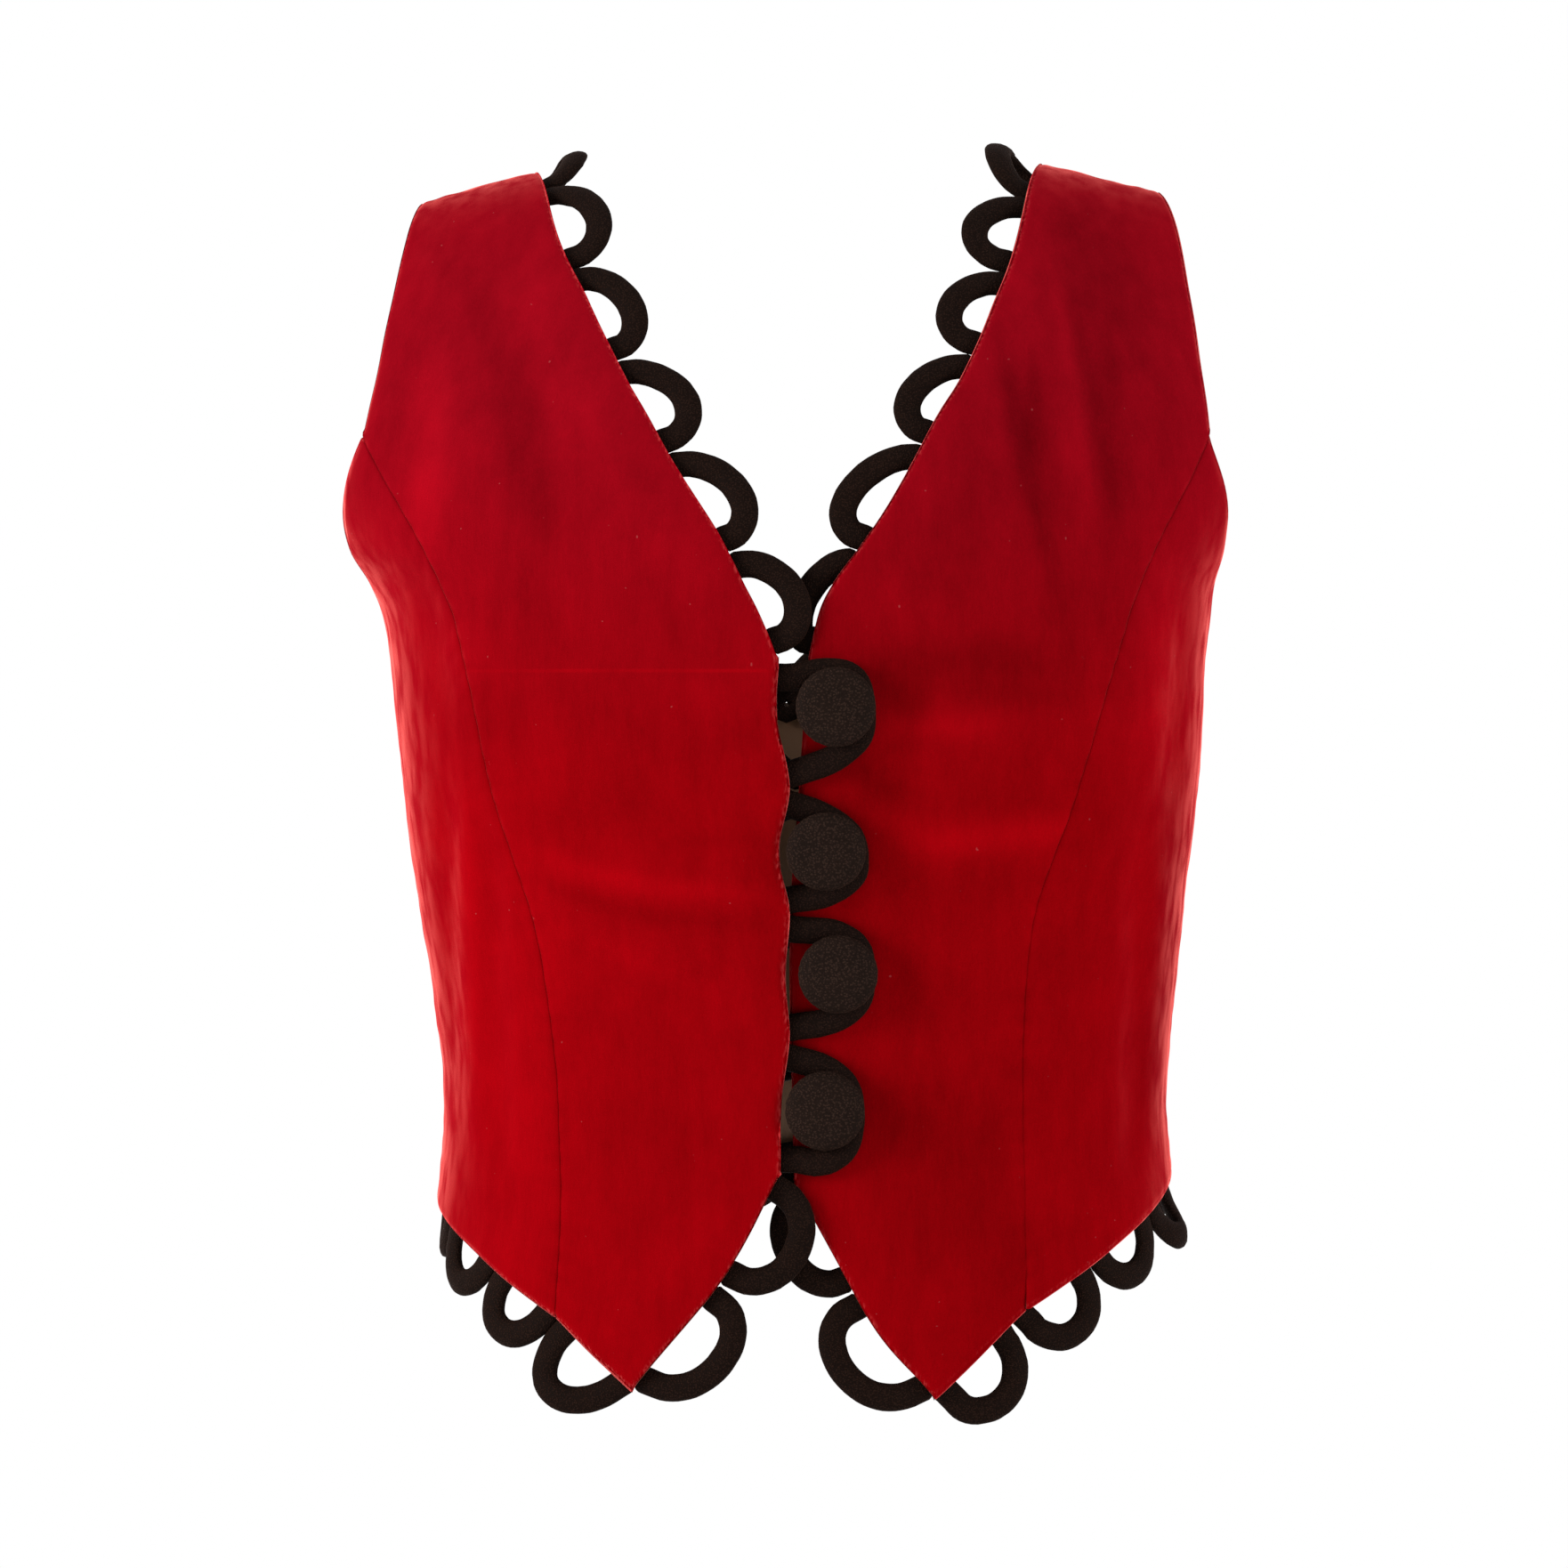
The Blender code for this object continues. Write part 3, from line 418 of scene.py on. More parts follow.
# How finely the pieces are cut into faces, and how the cloth is finished
FINENESS = 8
FRONT_FINE_COLUMNS = 64
SIDE_FINE_COLUMNS = 38
BACK_FINE_COLUMNS = 60
LEVEL_COUNT = 6001
RIM_ROUNDING = 0.0006
TINY = 1e-4
LEAST_LENGTH = 0.00001
EDGE_GATHER = 0.8
SCOOP_SKEW = 0.8
PUCKER_REACH = 0.007
PUCKER_TURNS, PUCKER_WANDER, PUCKER_WANDER_TURNS = 560.0, 1.6, 133.0
Wave = namedtuple("Wave", "x_length z_length phase height")
CLOTH_WAVES = table(
    Wave,
    (0.071, 0.160, 0.4, 0.00022),
    (0.038, -0.093, 2.1, 0.00016),
    (-0.052, 0.041, 4.0, 0.00012),
    (0.023, 0.210, 1.2, 0.00010),
    (0.110, 0.029, 5.3, 0.00009),
)
BUTTON_ROWS = 22
# The tucks under a button's rim: their number, depth, uneven spacing, and where they start
BUTTON_TUCKS = 26
BUTTON_TUCK_DEPTH = 0.012
TUCK_WANDER, TUCK_WANDERS, TUCK_SHIFT = 1.3, 5.0, 900.0
TUCK_START = 0.7
TUCK_LEVELS = (0.1, 0.6)
BUTTON_CREASES, BUTTON_CREASE_SCALE, BUTTON_CREASE_SHIFT = 0.00012, 170.0, 40.0

# Grain of the finishes: noise scale, detail and roughness, and how it is stretched and turned
PLAIN_GRAIN = (0.5, (1.0, 1.0, 1.0), (0.0, 0.0, 0.0))
Grain = namedtuple("Grain", "scale detail roughness stretch turn", defaults=PLAIN_GRAIN)
TUFTS = Grain(2500.0, 1.0)
HATCH = Grain(1300.0, 2.0, stretch=(1.0, 1.0, 0.16))
STREAKS = Grain(150.0, 3.0, stretch=(1.0, 1.0, 0.30), turn=(0.0, 0.12, 0.0))
CLOUDS = Grain(26.0, 4.0, 0.55)
BENT_TUFTS = Grain(1100.0, 1.0, stretch=(1.0, 1.0, 0.35), turn=(0.0, 0.7, 0.0))
LINT = Grain(640.0, 0.0)
LINING_WEFT = Grain(1500.0, 1.0, stretch=(1.0, 1.0, 3.0))
LINING_WARP = Grain(1500.0, 1.0, stretch=(3.0, 3.0, 1.0))
LINING_CLOUDS = Grain(40.0, 3.0)
CREPE_CLOUDS = Grain(95.0, 3.0)
FLOOR_GRAIN = Grain(6.0, 3.0)

# Velvet: each mark's share of the lightness, then the colours laid over the pile, their shares, and the
# values between which they come in
# The last share is that of the painted light and shade along the folds, rolled edges and strokes
PILE_SHARE, STREAK_SHARE, CLOUD_SHARE, PAINTED_SHADING_SHARE = 0.32, 0.24, 0.34, 0.50
VELVET_DARK, VELVET_LIGHT = 0.30, 1.70
PILE_DEPTH = 0.00012
# Painted sheen: the velvet's upper part tinted pinker
UPPER_PAINTED_SHEEN, UPPER_HEIGHTS = (1.0, 4.0, 2.9, 1.0), (-0.26, -0.06)
# Painted highlight in light tufts along the rolled edges
EDGE_HIGHLIGHT_COLOUR, EDGE_HIGHLIGHT_SHARE = (0.42, 0.050, 0.050, 1.0), 0.30
EDGE_HIGHLIGHT_TUFTS, EDGE_HIGHLIGHT_WIDTH = (0.42, 0.72), (0.02, 0.9)
LINT_COLOUR, LINT_SHARE, LINT_STEP = (0.20, 0.06, 0.06, 1.0), 0.22, (0.88, 0.905)
# Where the painted highlight line across the right front breaks up
HIGHLIGHT_LINE_BREAKS = (0.30, 0.60)
# Painted shade in the seams' grooves
SEAM_PAINTED_SHADE_SHARE, SEWN_WIDTH = 0.14, (0.0, 0.5)
SHEEN_COLOUR, SHEEN_SHARE, SHEEN_POWER = (0.30, 0.0020, 0.0130, 1.0), 0.50, 3.0
# Painted sheen: a pale pink rim where the velvet turns away from the eye
RIM_SHEEN_COLOUR, RIM_SHEEN_SHARE, RIM_SHEEN_POWER = (0.60, 0.115, 0.100, 1.0), 1.25, 6.0
RIM_SHEEN_BREAKS = (0.30, 0.72)

# Lining and crepe
LINING_DARK, LINING_LIGHT, LINING_DEPTH = 0.75, 1.3, 0.00012
CREPE_DARK, CREPE_LIGHT = 0.40, 1.80
# Painted sheen: the crepe lighter where it turns away from the eye
CREPE_EDGE_SHEEN, CREPE_EDGE_SHEEN_SHARE, CREPE_EDGE_SHEEN_POWER = 2.6, 0.8, 4.0
CREPE_CLOUD_DEPTH = 0.0004
PEBBLE_EDGE, THREAD_STEP = (0.05, 0.75), (0.25, 0.75)
FIBRE_FINENESS = 2.1
LOOP_WEAVE_SCALE, LOOP_WEAVE_DEPTH = 1300.0, 0.00020
BUTTON_WEAVE_SCALE, BUTTON_WEAVE_DEPTH = 1050.0, 0.00026

# Camera and light
PHOTO_PIXELS = 1762.0
FOCAL_PIXELS = 8515.0
CAMERA_PLACE = (-0.001, -3.0, -0.238)
SENSOR_WIDTH = 36.0
CLIP_START, CLIP_END = 0.05, 50.0
FLOOR_HEIGHT, FLOOR_RADIUS, FLOOR_SIDES = -0.80, 2.3, 96
WORLD_STRENGTH = 1.0
LIGHT_TARGET = (0.0, 0.0, -0.22)
LIGHT_COLOUR = (1.0, 0.985, 0.965)
StudioLight = namedtuple("StudioLight", "name place size power")
STUDIO_LIGHTS = table(
    StudioLight,
    ("key", (-2.4, -1.25, 0.45), (1.3, 1.3), 160.0),
    ("side", (2.2, -0.9, 0.1), (1.0, 1.6), 66.0),
    ("top", (0.0, 0.2, 1.8), (1.6, 1.2), 12.0),
)


# Form


def smooth(start, end, value):
    """0 before start, 1 after end, with a soft step between them."""
    f = np.clip((value - start) / (end - start), 0.0, 1.0)
    return f * f * (3.0 - 2.0 * f)


def mix(a, b, f):
    return a + (b - a) * f


def along(values, place, kinks=()):
    """A smooth curve through values, broken at the kinks; place counts from 0 at the first value."""
    values, place = np.asarray(values, float), np.asarray(place, float)
    last = len(values) - 1
    i = np.clip(np.floor(place), 0, last - 1).astype(int)
    p1, p2 = values[i], values[i + 1]
    p0 = np.where(np.isin(i, (0, *kinks)), 2.0 * p1 - p2, values[np.maximum(i - 1, 0)])
    p3 = np.where(np.isin(i + 1, (last, *kinks)), 2.0 * p2 - p1, values[np.minimum(i + 2, last)])
    f = place - i
    return 0.5 * (
        2.0 * p1
        + (p2 - p0) * f
        + (2.0 * p0 - 5.0 * p1 + 4.0 * p2 - p3) * f * f
        + (3.0 * p1 - p0 - 3.0 * p2 + p3) * f * f * f
    )


def column(name):
    """One column of the ring table, carried on past the ridge as its mirror image."""
    values = [getattr(ring, name) for ring in RINGS]
    mirrored = -1.0 if name.endswith("depth") else 1.0
    return np.array([mirrored * values[1], *values])


RING_COLUMNS = {name: column(name) for name in Ring._fields}
RIDGE_LEVEL = 0.5 * SEAM_GAP / RINGS[1].front_depth


def ring_value(name, level):
    """One column of the body form at a level, where level 0 is the shoulder ridge."""
    return along(RING_COLUMNS[name], np.asarray(level) + 1.0)


FINE_LEVELS = np.linspace(RIDGE_LEVEL, len(RINGS) - 1.0, LEVEL_COUNT)
FINE_HEIGHTS = ring_value("height", FINE_LEVELS)


def level_at(height):
    """The level whose ring lies at a height."""
    return np.interp(-np.asarray(height), -FINE_HEIGHTS, FINE_LEVELS)


def signed_power(value, exponent):
    return np.sign(value) * np.abs(value) ** exponent


def stack(x, y, z):
    return np.stack(np.broadcast_arrays(x, y, z), axis=-1)


def body_point(angle, level):
    """Points of the body form: angle 0 is the front's middle, +90 degrees the wearer's left side."""
    cosine = np.cos(angle)
    depth = np.where(cosine > 0.0, ring_value("front_depth", level), ring_value("back_depth", level))
    height = ring_value("height", level)
    x = ring_value("half_width", level) * signed_power(np.sin(angle), 2.0 / RING_SQUARENESS)
    y = -depth * signed_power(cosine, 2.0 / RING_SQUARENESS)
    rise = SHOULDER_TILT * x - SHOULDER_SLOPE * (np.abs(x) - SHOULDER_LEVEL_X)
    z = height + rise * smooth(-SHOULDER_ZONE, 0.0, height)
    return stack(x + ring_value("centre_x", level), y, z)


def unit(vectors):
    return vectors / np.linalg.norm(vectors, axis=-1, keepdims=True)


def distance(a, b):
    return np.linalg.norm(a - b, axis=-1)


def body_normal(angle, level):
    """The outward normals there."""
    step = 0.01
    across = body_point(angle + step, level) - body_point(angle - step, level)
    down = body_point(angle, level + step) - body_point(angle, level - step)
    return unit(np.cross(down, across))


def angle_at(x, level):
    """The front angle whose point has this x."""
    share = (x - ring_value("centre_x", level)) / ring_value("half_width", level)
    return np.arcsin(signed_power(np.clip(share, -1.0, 1.0), RING_SQUARENESS / 2.0))


def fold_height(folds, points):
    """How far the folds raise the cloth at points."""
    total = np.zeros(points.shape[:-1])
    for fold in folds:
        run_x, run_z = fold.x1 - fold.x0, fold.z1 - fold.z0
        length = math.hypot(run_x, run_z)
        off_x, off_z = points[..., 0] - fold.x0, points[..., 2] - fold.z0
        place = (off_x * run_x + off_z * run_z) / length
        side = np.abs(off_x * run_z - off_z * run_x) / length
        ends = smooth(-FOLD_END_FADE, FOLD_END_FADE, place)
        ends = ends * (1.0 - smooth(length - FOLD_END_FADE, length + FOLD_END_FADE, place))
        total += fold.depth * ends * np.exp(-((side / fold.half_width) ** 2))
    return total


def lap_lift(side, from_edge, height):
    """How far the front edge stands off the body form, at a distance from that edge."""
    if side == RIGHT:
        lift, flat, end = LAP_RIGHT_LIFT, LAP_RIGHT_FLAT, LAP_RIGHT_END
    else:
        lift, flat, end = LAP_LEFT_LIFT, LAP_LEFT_FLAT, LAP_LEFT_END
    shown = smooth(-LAP_STARTS, -LAP_FULL, -height) * (1.0 - smooth(-LAP_FADES, -LAP_ENDS, -height))
    return lift * (1.0 - smooth(flat, end, from_edge)) * shown


def with_clearance(share, width, first=True, last=True):
    """A place across a panel, kept half a seam gap inside the lines that it is sewn along."""
    gap = 0.5 * SEAM_GAP / width
    low = np.where(first, gap, 0.0)
    high = np.where(last, 1.0 - gap, 1.0)
    return mix(low, high, share)


def on_form(angle, level, folds):
    """Points of the body form with the folds raised on it, and its normals."""
    point = body_point(angle, level)
    normal = body_normal(angle, level)
    return point + normal * fold_height(folds, point)[..., None], normal


class Front:
    """A front panel between its open edge (share 0) and its armhole and curved seam (share 1)."""

    folds, nap = FRONT_FOLDS, FRONT_PAINTED_SHADING

    def __init__(self, side):
        self.side = side
        self.stations = FRONT_RIGHT if side == RIGHT else FRONT_LEFT
        self.edge_x = [row.edge_x for row in self.stations]
        self.edge_level = level_at([row.edge_height for row in self.stations])
        self.seam_x = [row.seam_x for row in self.stations]
        self.seam_level = level_at([row.seam_height for row in self.stations])
        self.places = grid_places(self.stations)
        self.last = len(self.stations) - 1.0

    def edge(self, place):
        level = along(self.edge_level, place, EDGE_KINKS)
        x = along(self.edge_x, place, EDGE_KINKS)
        if self.side == RIGHT:
            loop = np.floor(place).astype(int) - V_BOTTOM
            known = (loop >= 0) & (loop < len(EDGE_SCALLOPS))
            drawn = np.array(EDGE_SCALLOPS)[np.clip(loop, 0, len(EDGE_SCALLOPS) - 1)]
            x = x - np.where(known, drawn, 0.0) * np.sin(math.pi * place) ** 2
        return angle_at(x, level), level

    def seam(self, place):
        level = along(self.seam_level, place, SEAM_KINKS)
        return angle_at(along(self.seam_x, place, SEAM_KINKS), level), level

    def frame(self, share, place):
        """The outer surface's points and normals."""
        place = np.asarray(place, float)
        edge_angle, edge_level = self.edge(place)
        seam_angle, seam_level = self.seam(place)
        edge_point = body_point(edge_angle, edge_level)
        width = distance(body_point(seam_angle, seam_level), edge_point)
        share = with_clearance(share, width, first=False)
        angle = mix(edge_angle, seam_angle, share)
        level = mix(edge_level, seam_level, share)
        from_edge = body_point(angle, level)
        lift = lap_lift(self.side, distance(from_edge, edge_point), from_edge[..., 2])
        point, normal = on_form(angle, level, self.folds)
        return point + normal * lift[..., None], normal

    def is_open(self, share, place):
        """Whether a place on the panel's rim is an open edge."""
        sewn = place < TINY or (share > 1.0 - TINY and place > PRINCESS_TOP)
        return not sewn

    def finish(self, share, place, point):
        """How the outer face sinks at its rolled edges, and at its seams."""
        edge = self.frame(0.0 * share, place)[0]
        outer = self.frame(0.0 * share + 1.0, place)[0]
        top = self.frame(share, 0.0 * place)[0]
        hem = self.frame(share, 0.0 * place + self.last)[0]
        armhole = place < PRINCESS_TOP
        at_outer = distance(point, outer)
        roll = rolled(distance(point, edge)) + rolled(distance(point, hem))
        roll += np.where(armhole, rolled(at_outer), 0.0)
        groove = np.where(armhole, 0.0, seamed(at_outer, outer[..., 2]))
        return roll, groove + seamed(distance(point, top), top[..., 0])


class SideFront:
    """A side front between the curved seam (share 0) and the side seam (share 1), from the armhole down."""

    folds, nap = FRONT_FOLDS, SIDE_PAINTED_SHADING

    def __init__(self, side):
        self.side = side
        self.front = Front(side)
        self.places = self.front.places[self.front.places >= PRINCESS_TOP]
        self.last = self.front.last
        self.hem_height = SIDE_HEM_RIGHT if side == RIGHT else SIDE_HEM_LEFT

    def frame(self, share, place):
        """The outer surface's points and normals."""
        place = np.asarray(place, float)
        top_height = self.front.stations[PRINCESS_TOP].seam_height
        bottom_height = self.front.stations[-1].seam_height
        angle, level = self.front.seam(place)
        height = ring_value("height", level)
        down = (height - top_height) / (bottom_height - top_height)
        side_height = mix(UNDERARM_HEIGHT, self.hem_height, down)
        seam_point = body_point(angle, level)
        side_angle = self.side * 0.5 * math.pi
        width = distance(body_point(side_angle, level_at(side_height)), seam_point)
        share = with_clearance(share, width)
        scoop = ARMHOLE_SCOOP * np.sin(math.pi * share**SCOOP_SKEW) * (1.0 - down) ** 2
        scoop = scoop - HEM_RAISE * np.sin(math.pi * share) * down**3
        level = level_at(mix(height, side_height, share) - scoop)
        angle = mix(angle, side_angle, share)
        return on_form(angle, level, self.folds)

    def is_open(self, share, place):
        return TINY < share < 1.0 - TINY

    def finish(self, share, place, point):
        """How the outer face sinks at its rolled edges, and at its seams."""
        seam = self.frame(0.0 * share, place)[0]
        side = self.frame(0.0 * share + 1.0, place)[0]
        armhole = self.frame(share, 0.0 * place + PRINCESS_TOP)[0]
        hem = self.frame(share, 0.0 * place + self.last)[0]
        roll = rolled(distance(point, armhole)) + rolled(distance(point, hem))
        groove = seamed(distance(point, seam), seam[..., 2])
        return roll, groove + seamed(distance(point, side), side[..., 2])


class Back:
    """The back: share 0 is its V neck and middle, share 1 its armhole and side seam, on either side."""

    folds, nap = BACK_FOLDS, BACK_PAINTED_SHADING

    def __init__(self):
        self.neck_level = level_at([row.neck_height for row in BACK])
        self.neck_x = [row.neck_x for row in BACK]
        self.side_angle = [math.radians(row.side_angle) for row in BACK]
        self.side_height = [row.side_height for row in BACK]
        self.places = grid_places(BACK)
        self.last = len(BACK) - 1.0

    def neck(self, place, side):
        level = along(self.neck_level, place, BACK_KINKS)
        x = np.maximum(0.0, along(self.neck_x, place, BACK_KINKS))
        centre = ring_value("centre_x", level) * smooth(0.0, BACK_V_BOTTOM, BACK_V_BOTTOM - place)
        return math.pi - side * angle_at(side * x + centre, level), level

    def frame(self, share, place, side):
        """The outer surface's points and normals on the right or left half."""
        place = np.asarray(place, float)
        neck_angle, neck_level = self.neck(place, side)
        side_angle = along(self.side_angle, place, BACK_KINKS)
        hem_height = np.where(np.asarray(side) == RIGHT, SIDE_HEM_RIGHT, SIDE_HEM_LEFT)
        down = smooth(BACK_V_BOTTOM, self.last, place)
        side_height = along(self.side_height, place, BACK_KINKS)
        side_height = side_height + down * (hem_height - self.side_height[-1])
        side_level = level_at(side_height)
        neck_point = body_point(side * neck_angle, neck_level)
        width = distance(body_point(side * side_angle, side_level), neck_point)
        share = with_clearance(share, width, first=False, last=place >= BACK_V_BOTTOM)
        level = mix(neck_level, side_level, share ** (1.0 + down))
        angle = side * mix(neck_angle, side_angle, share)
        return on_form(angle, level, self.folds)

    def is_open(self, share, place):
        at_side = share > 1.0 - TINY and place > BACK_V_BOTTOM
        return place > TINY and not at_side

    def finish(self, share, place, side, point):
        """How the outer face sinks at its rolled edges, and at its seams."""
        neck = self.frame(0.0 * share, place, side)[0]
        outer = self.frame(0.0 * share + 1.0, place, side)[0]
        top = self.frame(share, 0.0 * place, side)[0]
        hem = self.frame(share, 0.0 * place + self.last, side)[0]
        at_outer = distance(point, outer)
        open_neck = place <= BACK_V_BOTTOM
        roll = np.where(open_neck, rolled(distance(point, neck)) + rolled(at_outer), 0.0)
        groove = np.where(open_neck, 0.0, seamed(at_outer, outer[..., 2]))
        roll += rolled(distance(point, hem))
        return roll, groove + seamed(distance(point, top), top[..., 0])


def grid_places(stations):
    """Where the fine grid rows lie, counted in stations."""
    places = []
    for i, row in enumerate(stations):
        places.extend(i + np.arange(row.rows * FINENESS) / max(1, row.rows * FINENESS))
    return np.array([*places, len(stations) - 1.0])


def rolled(from_edge):
    """The outer face turns inwards at an open edge."""
    cloth = bpy.context.scene.vest_sizes
    return -cloth.roll_drop * (1.0 - np.clip(from_edge / cloth.roll_width, 0.0, 1.0)) ** 2


def seamed(from_seam, run):
    """The outer face sinks into a seam, and puckers a little beside it."""
    cloth = bpy.context.scene.vest_sizes
    groove = -cloth.groove_depth * np.exp(-((from_seam / cloth.groove_width) ** 2))
    wander = PUCKER_WANDER * np.sin(PUCKER_WANDER_TURNS * run)
    puckers = np.sin(PUCKER_TURNS * run + wander) * np.exp(-from_seam / PUCKER_REACH)
    return groove + cloth.pucker_height * puckers


def waves(points):
    """The cloth's own soft unevenness."""
    total = np.zeros(points.shape[:-1])
    for wave in CLOTH_WAVES:
        turn = points[..., 0] / wave.x_length + points[..., 2] / wave.z_length
        total += wave.height * np.sin(2.0 * math.pi * turn + wave.phase)
    return total


# Meshes


def coordinates(bm):
    return np.array([vert.co[:] for vert in bm.verts])


def gathered(share):
    """Grid lines drawn closer towards both sides, where seams and rolled edges are."""
    return mix(share, 0.5 - 0.5 * np.cos(math.pi * share), EDGE_GATHER)


def place_vertices(bm, points):
    for vert, point in zip(bm.verts, points):
        vert.co = point


def thicken(bm, is_open):
    """Makes the flat pattern a slab, and gives the rim's edges where the cloth isn't sewn on."""
    result = bmesh.ops.extrude_face_region(bm, geom=bm.faces[:], use_keep_orig=True)
    copies = [item for item in result["geom"] if isinstance(item, bmesh.types.BMVert)]
    bmesh.ops.translate(bm, verts=copies, vec=(0.0, 0.0, -1.0))
    rim = []
    for face in bm.faces:
        depths = [vert.co.z for vert in face.verts]
        if min(depths) < -0.5 < max(depths):
            for edge in face.edges:
                start, end = (vert.co for vert in edge.verts)
                if abs(start.z - end.z) < 0.5 and is_open(*(0.5 * (start + end)).xy):
                    rim.append(edge)
        elif max(depths) < -0.5:
            face.material_index = 1
    return list(set(rim))


def new_piece(name, bm, materials):
    """A finished piece, shaded smooth, with its faces pointing outwards."""
    bmesh.ops.recalc_face_normals(bm, faces=bm.faces)
    if bm.calc_volume(signed=True) < 0.0:
        bmesh.ops.reverse_faces(bm, faces=bm.faces)
    mesh = bpy.data.meshes.new(name)
    bm.to_mesh(mesh)
    bm.free()
    for material in materials:
        mesh.materials.append(material)
    mesh.shade_smooth()
    piece = bpy.data.objects.new(name, mesh)
    bpy.context.scene.collection.objects.link(piece)
    return piece


def layered(bm, layer, point, normal, sinks, folds, nap):
    """Puts the slab's outer and inner vertices on the form, and notes where light and shade are painted on
    the pile.
    """
    roll, groove = sinks
    # Painted light and shade: darker in the folds' troughs, lighter on their ridges and at the rolled
    # edges, and the strokes
    lightness = fold_height(nap, point) + SHADING_FOLLOWS_FOLDS * fold_height(folds, point)
    lightness -= HIGHLIGHT_FOLLOWS_EDGES * roll
    cloth = bpy.context.scene.vest_sizes
    # Where the painted highlight lies along the rolled edges
    edge_highlight = np.clip(-roll / cloth.roll_drop, 0.0, 1.0)
    sewn = np.clip(-groove / cloth.groove_depth, 0.0, 1.0)
    for name, values in (("nap", lightness), ("edge_highlight", edge_highlight), ("sewn", sewn)):
        mark = bm.verts.layers.float.new(name)
        for vert, value in zip(bm.verts, values):
            vert[mark] = value
    uneven = waves(point)
    depth = np.where(layer > -0.5, uneven + roll + groove, uneven - WALL)
    place_vertices(bm, point + normal * depth[:, None])


def round_rim(bm, rim):
    bmesh.ops.bevel(
        bm, geom=rim, offset=RIM_ROUNDING, segments=2, profile=0.5, affect="EDGES", material=-1
    )


def add_panel(name, panel, columns, materials):
    rows = len(panel.places) - 1
    fine_rows = np.linspace(0.0, 1.0, rows + 1)
    bm = bmesh.new()
    bmesh.ops.create_grid(bm, x_segments=columns, y_segments=rows, size=0.5)
    rim = thicken(bm, lambda x, y: panel.is_open(x + 0.5, np.interp(y + 0.5, fine_rows, panel.places)))
    flat = coordinates(bm)
    share = gathered(flat[:, 0] + 0.5)
    place = panel.places[np.rint((flat[:, 1] + 0.5) * rows).astype(int)]
    point, normal = panel.frame(share, place)
    layered(bm, flat[:, 2], point, normal, panel.finish(share, place, point), panel.folds, panel.nap)
    round_rim(bm, rim)
    return new_piece(name, bm, materials)


def add_back_panel(name, back, columns, materials):
    """The back from one flat grid of both halves, slit down its middle to the bottom of the V."""
    rows = len(back.places) - 1
    slit_rows = int(np.argmin(np.abs(back.places - BACK_V_BOTTOM)))
    bm = bmesh.new()
    bmesh.ops.create_grid(bm, x_segments=2 * columns, y_segments=rows, size=1.0)
    slit_end = slit_rows * 2.0 / rows - 1.0
    slit = [
        edge
        for edge in bm.edges
        if all(abs(v.co.x) < TINY and v.co.y < slit_end + TINY for v in edge.verts)
    ]
    bmesh.ops.split_edges(bm, edges=slit)
    fine_rows = np.linspace(-1.0, 1.0, rows + 1)
    rim = thicken(bm, lambda x, y: back.is_open(abs(x), np.interp(y, fine_rows, back.places)))
    flat = coordinates(bm)
    middles = [sum(face.calc_center_median().x for face in vert.link_faces) for vert in bm.verts]
    side = np.where(np.array(middles) > 0.0, LEFT, RIGHT)
    share = gathered(np.abs(flat[:, 0]))
    place = back.places[np.rint((flat[:, 1] + 1.0) * 0.5 * rows).astype(int)]
    point, normal = back.frame(share, place, side)
    sinks = back.finish(share, place, side, point)
    layered(bm, flat[:, 2], point, normal, sinks, back.folds, back.nap)
    round_rim(bm, rim)
    return new_piece(name, bm, materials)


class EdgePath:
    """A line along open edges, read by its length from the start, with named marks on the way."""

    def __init__(self, outward):
        self.outward = outward
        self.points = np.zeros((0, 3))
        self.normals = np.zeros((0, 3))
        self.lengths = np.zeros(0)
        self.marks = {}

    def add(self, frame_at, mark):
        """Adds a stretch, from frame_at(0) to frame_at(1), and marks its end."""
        points, normals = frame_at(np.linspace(0.0, 1.0, PATH_STEPS + 1))
        if len(self.points) and distance(points[0], self.points[-1]) < 0.5 * SEAM_GAP:
            points, normals = points[1:], normals[1:]
        self.points = np.vstack((self.points, points))
        self.normals = np.vstack((self.normals, normals))
        steps = distance(self.points[1:], self.points[:-1])
        self.lengths = np.concatenate(([0.0], np.cumsum(steps)))
        self.marks[mark] = self.lengths[-1]

    def read(self, values, length):
        return stack(*(np.interp(length, self.lengths, values[:, i]) for i in range(3)))

    def frame(self, length, out):
        """The points, the directions out of the cloth's edge, and the surface normals."""
        step = EDGE_STEP + EDGE_STEP_GROWTH * np.maximum(0.0, out)
        normal = unit(self.read(self.normals, length))
        ahead = self.read(self.points, length + step) - self.read(self.points, length - step)
        tangent = unit(ahead - normal * (ahead * normal).sum(-1, keepdims=True))
        return self.read(self.points, length), self.outward * np.cross(normal, tangent), normal


Loop = namedtuple("Loop", "start end shape")


def spaced(start, end, shapes):
    """The loops between two places on an edge, one for each shape."""
    total = sum(shape.share for shape in shapes)
    loops = []
    for shape in shapes:
        stop = start + (end - start) * shape.share / total
        total -= shape.share
        loops.append(Loop(start, stop, shape))
        start = stop
    return loops


